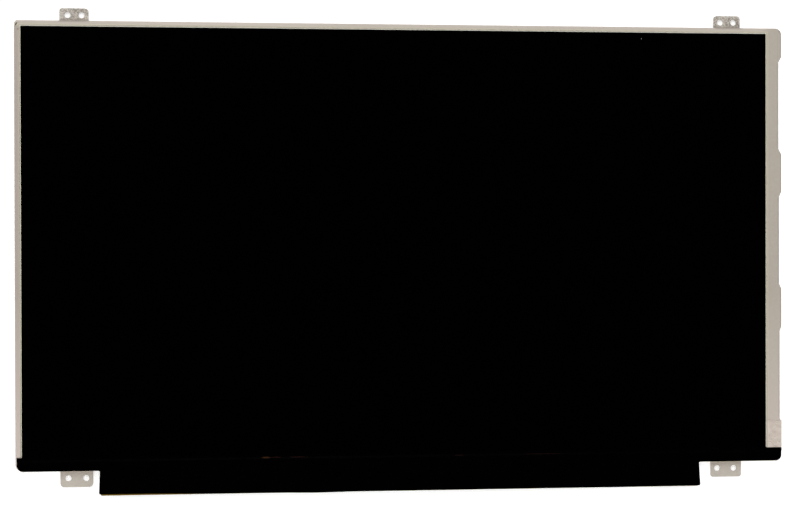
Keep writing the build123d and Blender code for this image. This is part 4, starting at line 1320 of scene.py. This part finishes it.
@dataclass
class CoverTape(SubAssembly):
    """Black tape from the display's lower edge over the step of the glass to the driver board."""

    solids = {Finishes.TAPE: ("front_cover_tape",)}

    # Step of the tape: levels of its lower face on the display and on the board, and where it runs
    thickness: float = 0.08
    front: float = 3.65
    low: float = 3.1
    head: float = -94.94
    foot: float = -96.45
    bend: float = 0.035
    lift_height: float = 0.025
    lift_width: float = 0.8

    # Outline: the rail's lower edge, the flap's sides, its flare and the corners
    rail_bottom: float = -100.45
    flap: Pair = (-141.75, 139.5)
    flare: Pair = (0.4, 0.7)
    root_fillet: float = 0.6
    root_fade: float = 0.9
    side_reach: float = 12.0
    corner_left: float = 2.95
    corner_right: float = 2.8
    corner_top: float = 0.6
    corner_flap: float = 0.7
    fine_top: float = 3.2
    column_steps: tuple[float, ...] = (0.2, 1.0, 0.18, 1.0, 0.18, 1.0, 0.25)
    row_steps: tuple[float, ...] = (0.14, 0.5, 0.14, 0.25, 0.4, 0.16)

    # Lower edge of the flap: how far it stands back from the board's edge, and where it hangs over it
    set_back: float = 0.1
    set_back_left: float = 0.5
    left_end: float = -138.0
    left_fade: float = 36.0
    left_power: int = 4
    hangs: tuple[Bell, ...] = (Bell(0.3, -42.0, 14.0), Bell(0.14, 98.0, 9.0))
    right_rise: Ramp = Ramp(0.12, 128.0, 6.0)

    # What lies under the tape: board, driver films, and the gap below the glass
    board: Pair = (-139.95, 137.7)
    board_top: float = -100.3
    board_soft: Pair = (0.4, 0.15)
    board_sag: float = 0.04
    films: tuple[float, ...] = (-85.5, -1.12, 83.25)
    film_half: float = 19.0
    film_ends: Pair = (-103.8, -96.6)
    film_soft: Pair = (0.3, 0.25)
    gap: Pair = (-99.15, -97.95)
    gap_sag: float = 0.1
    opening: Pair = (-176.6, 171.8)
    opening_soft: float = 0.12

    # Long low waves, and the curl of the lower edge
    waves: tuple[Wave, ...] = (Wave(0.006, 0.17, 0.55, 0.8), Wave(0.006, 0.41, -0.9, 2.1))
    curl: Wave = Wave(0.5, 0.13, 0.0, 1.0)
    curl_height: float = 0.03
    curl_reach: float = 0.7

    # Painted glints on the step: streaks as X, Y, length and half width, and the specks of dust as X, Y and
    # radius
    streaks: tuple[tuple[float, float, float, float], ...] = (
        (-65.6, -95.35, 5.4, 0.36),
        (-61.0, -95.25, 5.2, 0.3),
        (-50.6, -95.3, 9.0, 0.28),
        (24.8, -95.6, 5.0, 0.2),
        (64.0, -95.5, 22.0, 0.16),
    )
    streak_grid: tuple[int, int] = (3, 15)
    streak_blunt: float = 0.02
    streak_sway: float = 0.03
    streak_turns: float = 7.0
    streak_rim: float = 0.008
    streak_crown: float = 0.012
    streak_sink: float = 0.01
    specks: tuple[Triple, ...] = ((69.8, -106.35, 0.06), (-143.2, -98.9, 0.06), (71.9, -104.4, 0.04))
    speck_flatness: float = 0.5

    def underside(self, x: Array, y: Array) -> Array:
        """Give the level of the tape's lower face.

        A slope joins the level of the display to the level of the board. Its upper and lower bends
        are rounded by a soft minimum and a soft maximum, k * log(exp(a / k) + exp(b / k)). Between
        the driver films the tape settles onto the board and into the gap below the glass. Long low
        waves and a lifted lower edge are added on top.

        Args:
            x: places across the screen.
            y: places up the screen.

        Returns:
            The levels, shaped as x and y.
        """
        lift = Bell(self.lift_height, self.head, self.lift_width).at(y)
        slope = (self.front - self.low) / (self.head - self.foot)
        line = self.low + slope * (y - self.foot) + lift
        rising = self.bend * np.logaddexp(self.low / self.bend, line / self.bend)
        level = -self.bend * np.logaddexp(-(self.front + lift) / self.bend, -rising / self.bend)
        spans = [(middle - self.film_half, middle + self.film_half) for middle in self.films]
        across = sum(window(x, span, self.film_soft[0]) for span in spans)
        film = across * window(y, self.film_ends, self.film_soft[1])
        below = 1.0 - step_up(y, self.board_top, self.board_soft[1])
        share = np.clip((y - self.gap[0]) / (self.gap[1] - self.gap[0]), 0.0, 1.0)
        dip = window(x, self.opening, self.opening_soft) * np.sin(np.pi * share) ** 2
        sag = self.board_sag * window(x, self.board, self.board_soft[0]) * below + self.gap_sag * dip
        waves = sum(wave.at(x, y) for wave in self.waves)
        reach = np.clip((self.foot_line(x) - y) / self.curl_reach, -STEEPEST, 0.0)
        edge = self.curl_height * np.exp(reach) * self.curl.at(x, y)
        return level - (1.0 - film) * sag + waves + edge

    def foot_line(self, x: Array) -> Array:
        """Give the lower edge of the flap.

        It stands back from the board's edge, most at the left end and a little at the right one,
        and hangs over it in two places, each a low bell curve of X.

        Args:
            x: places across the screen.

        Returns:
            Y of the edge, shaped as x.
        """
        fade = np.maximum(x - self.left_end, 0.0) / self.left_fade
        back = self.set_back + self.set_back_left * np.exp(-(fade**self.left_power))
        hang = sum(bell.at(x) for bell in self.hangs)
        return extent("driver_board")[0][1] + back - hang + self.right_rise.at(x)

    def rounded(self, x: Array, y: Array, corner: Pair, sides: Pair,
                radius: float) -> tuple[Array, Array]:
        """Round one corner of a grid.

        Inside the corner's square, a and b run from 0 at the arc's middle to 1 at the two sides.
        The square becomes a quarter disc by a * sqrt(1 - b^2 / 2) and b * sqrt(1 - a^2 / 2).

        Args:
            x: grid of X.
            y: grid of Y.
            corner: X and Y of the corner.
            sides: signs of X and Y towards the corner.
            radius: radius of the arc.

        Returns:
            The moved X and Y.
        """
        middle = (corner[0] - sides[0] * radius, corner[1] - sides[1] * radius)
        a = (x - middle[0]) * sides[0] / radius
        b = (y - middle[1]) * sides[1] / radius
        inside = (a > 0.0) & (b > 0.0) & (a <= 1.0 + SLACK) & (b <= 1.0 + SLACK)
        a_disc = a * np.sqrt(np.clip(1.0 - b * b / 2.0, 0.0, 1.0))
        b_disc = b * np.sqrt(np.clip(1.0 - a * a / 2.0, 0.0, 1.0))
        x = np.where(inside, middle[0] + sides[0] * radius * a_disc, x)
        y = np.where(inside, middle[1] + sides[1] * radius * b_disc, y)
        return x, y

    def outline(self) -> tuple[Array, Array, NDArray[np.bool_]]:
        """Lay a grid over the tape's T-shaped outline.

        The grid's columns meet the flap's sides and its rows meet the rail's lower edge, so the
        cells left and right of the flap are dropped. Corners are rounded, the flap's sides flare
        outwards with the depth below the rail, and fillets widen the flap at its root.

        Returns:
            X and Y of the grid, and the cells to keep.
        """
        low, high = extent("front_cover_tape")
        left, right, top, nominal = low[0], high[0], high[1], low[1]
        flap_left, flap_right = self.flap
        base, corner = self.rail_bottom, self.corner_flap
        columns = stations(
            [left, left + self.corner_left, flap_left, flap_left + corner, flap_right - corner,
             flap_right, right - self.corner_right, right], self.column_steps)
        rows = stations(
            [nominal, nominal + corner, base - corner, base, base + self.corner_right,
             top - self.fine_top, top], self.row_steps)
        x, y = np.meshgrid(columns, rows)
        middle_x = (x[:-1, :-1] + x[1:, 1:]) / 2.0
        middle_y = (y[:-1, :-1] + y[1:, 1:]) / 2.0
        keep = (middle_y > base) | ((middle_x > flap_left) & (middle_x < flap_right))
        for spot, sides, radius in (
            ((left, base), (-1.0, -1.0), self.corner_left),
            ((right, base), (1.0, -1.0), self.corner_right),
            ((right, top), (1.0, 1.0), self.corner_top),
            ((flap_left, nominal), (-1.0, -1.0), corner),
            ((flap_right, nominal), (1.0, -1.0), corner),
        ):
            x, y = self.rounded(x, y, spot, sides, radius)
        depth = base - y
        fall = np.clip(depth / (base - nominal), 0.0, 1.0)
        radius = self.root_fillet
        arc = radius - np.sqrt(np.clip(radius**2 - np.clip(radius - depth, 0.0, radius) ** 2, 0.0, None))
        fade = radius * np.clip(1.0 + depth / self.root_fade, 0.0, 1.0)
        root = np.where(depth >= 0.0, arc, fade)
        near_left, near_right = (
            np.clip(1.0 - np.abs(x - side) / self.side_reach, 0.0, 1.0) for side in self.flap
        )
        x = x - near_left * (self.flare[0] * fall + root) + near_right * (self.flare[1] * fall + root)
        reach = (base - self.foot_line(x)) / (base - nominal)
        return x, np.where(depth > 0.0, base - depth * reach, y), keep

    def build(self) -> None:
        """Lay the tape, the streaks of painted glint on its step and the specks of dust on it."""
        x, y, keep = self.outline()
        lower = self.underside(x, y)
        grids = [np.stack([x, y, level], axis=-1) for level in (lower + self.thickness, lower)]
        tape = closed_sheet(*grids, keep)
        self.add("cover_tape", tape, Finishes.TAPE, "black_tape", ("front_cover_tape",))
        # Thin warm streaks of painted glint along the tape's step
        self.add("tape_painted_glints", self.painted_glint_streaks(), Finishes.PAINTED_GLINT_FINISH, "black_tape")
        x, y, _ = np.array(self.specks).T
        grains = dust(self.specks, self.underside(x, y) + self.thickness, self.speck_flatness)
        self.add("tape_dust", grains, Finishes.DUST, "black_tape")

    def painted_glint_streaks(self) -> Shell:
        """Lay thin lens-shaped streaks of painted glint along the step: half width w * (1 - s^2) for s from
        -1 to 1.

        The ends are a little blunt, the middle line sways by a sine, and the crown rises over the rim.

        Returns:
            All the streaks.
        """
        rows, columns = self.streak_grid
        across = np.linspace(-1.0, 1.0, rows)[:, None]
        share = np.linspace(-1.0, 1.0, columns)[None, :]
        lift = self.streak_rim + self.streak_crown * (1.0 - across**2)
        sway = self.streak_sway * np.sin(self.streak_turns * share)
        shells = []
        for middle_x, middle_y, length, width in self.streaks:
            x = np.broadcast_to(middle_x + share * length / 2.0, self.streak_grid)
            y = middle_y + across * width * (1.0 + self.streak_blunt - share**2) + sway
            level = self.underside(x, y) + self.thickness
            shells.append(closed_sheet(np.stack([x, y, level + lift], axis=-1),
                                       np.stack([x, y, level - self.streak_sink], axis=-1)))
        return joined(shells)


@dataclass
class SideTape(SubAssembly):
    """Wrinkled pale tape low on the right rail, folded over the rail's outer edge."""

    solids = {Finishes.PALE_TAPE: ("side_tape",)}
    thickness: float = 0.05
    edge_radius: float = 0.3
    drop: float = 0.9
    rail_right: float = 179.75
    front: float = 3.65
    step: float = 0.1
    turn_step: float = 0.05

    # Wrinkles: the least height, the creases and how they grow below, the fold and the swell
    least: float = 0.004
    creases: tuple[Crease, ...] = (
        Crease(0.1, 0.55, 0.9, 0.0, 0.8, 0.7, 0.3, 0.0, 3),
        Crease(0.08, -0.75, 0.65, 0.9, 0.7, 0.0, 0.5, 1.3, 3),
        Crease(0.05, 0.25, 1.7, 0.4, 1.1, 0.9, 0.2, 0.6, 4),
    )
    growth: Ramp = Ramp(0.6, -90.0, 0.8)
    fold: Bell = Bell(0.13, -82.1, 0.3)
    fold_slant: float = 0.06
    fold_start: Ramp = Ramp(1.0, 2.6, 0.5)
    swell: Wave = Wave(0.02, 0.6, 0.45)
    calm: float = 0.7

    # Upper edge: a sine of the length along the profile, and a fall towards the outer end
    edge_sway: float = 0.25
    edge_pace: float = 0.9
    edge_phase: float = 0.4
    edge_fall: float = 0.1

    def wrinkles(self, along: Array, up: Array) -> Array:
        """Give the height of the wrinkles.

        Families of creases cross at shallow angles, higher towards the tape's foot. A fold, a bell
        curve of the height, runs along the upper edge, and a broad swell lies under them all.

        Args:
            along: length along the folded profile.
            up: place up the screen.

        Returns:
            Heights from 0 upwards.
        """
        ridges = sum(crease.at(along, up) for crease in self.creases)
        low = 1.0 + self.growth.height - self.growth.at(up)
        fold = self.fold.at(up + self.fold_slant * along) * self.fold_start.at(along)
        return self.least + ridges * low + fold + self.swell.at(along, up)

    def build(self) -> None:
        """Fold the tape: flat over the rail, a quarter turn round its edge, then down its side."""
        low, high = extent("side_tape")
        flat = self.rail_right - self.edge_radius - low[0]
        turn = self.edge_radius * np.pi / 2.0
        along = stations([0.0, flat, flat + turn, flat + turn + self.drop],
                         [self.step, self.turn_step, self.step])
        s, y = np.meshgrid(along, stations([low[1], high[1]], [self.step]))
        angle = np.clip((s - flat) / self.edge_radius, 0.0, np.pi / 2.0)
        x = low[0] + np.minimum(s, flat) + self.edge_radius * np.sin(angle)
        down = np.maximum(s - flat - turn, 0.0)
        z = self.front - self.edge_radius * (1.0 - np.cos(angle)) - down
        normal = np.stack([np.sin(angle), np.zeros_like(angle), np.cos(angle)], axis=-1)
        share = (y - low[1]) / (high[1] - low[1])
        sway = self.edge_sway * np.sin(self.edge_pace * s + self.edge_phase)
        y = y + share * (sway - self.edge_fall * s / along[-1])
        middle = np.stack([x, y, z], axis=-1)
        height = (self.wrinkles(s, y) * (1.0 - self.calm * np.sin(angle)))[..., None]
        shell = closed_sheet(middle + normal * (height + self.thickness), middle + normal * height)
        self.add("wrinkled_side_tape", shell, Finishes.PALE_TAPE, "pale_tape", ("side_tape",))


def main() -> None:
    """Set the studio, then dress and build the panel one sub-assembly after the other."""
    logging.basicConfig(level=logging.INFO, format="%(name)s: %(message)s")
    Studio().build()
    wardrobe = Wardrobe()
    for group in (Housing, Display, Backlight, DriverBoard, CoverTape, SideTape):
        assembly = group(wardrobe)
        assembly.dress()
        assembly.build()


if __name__ == "__main__":
    main()
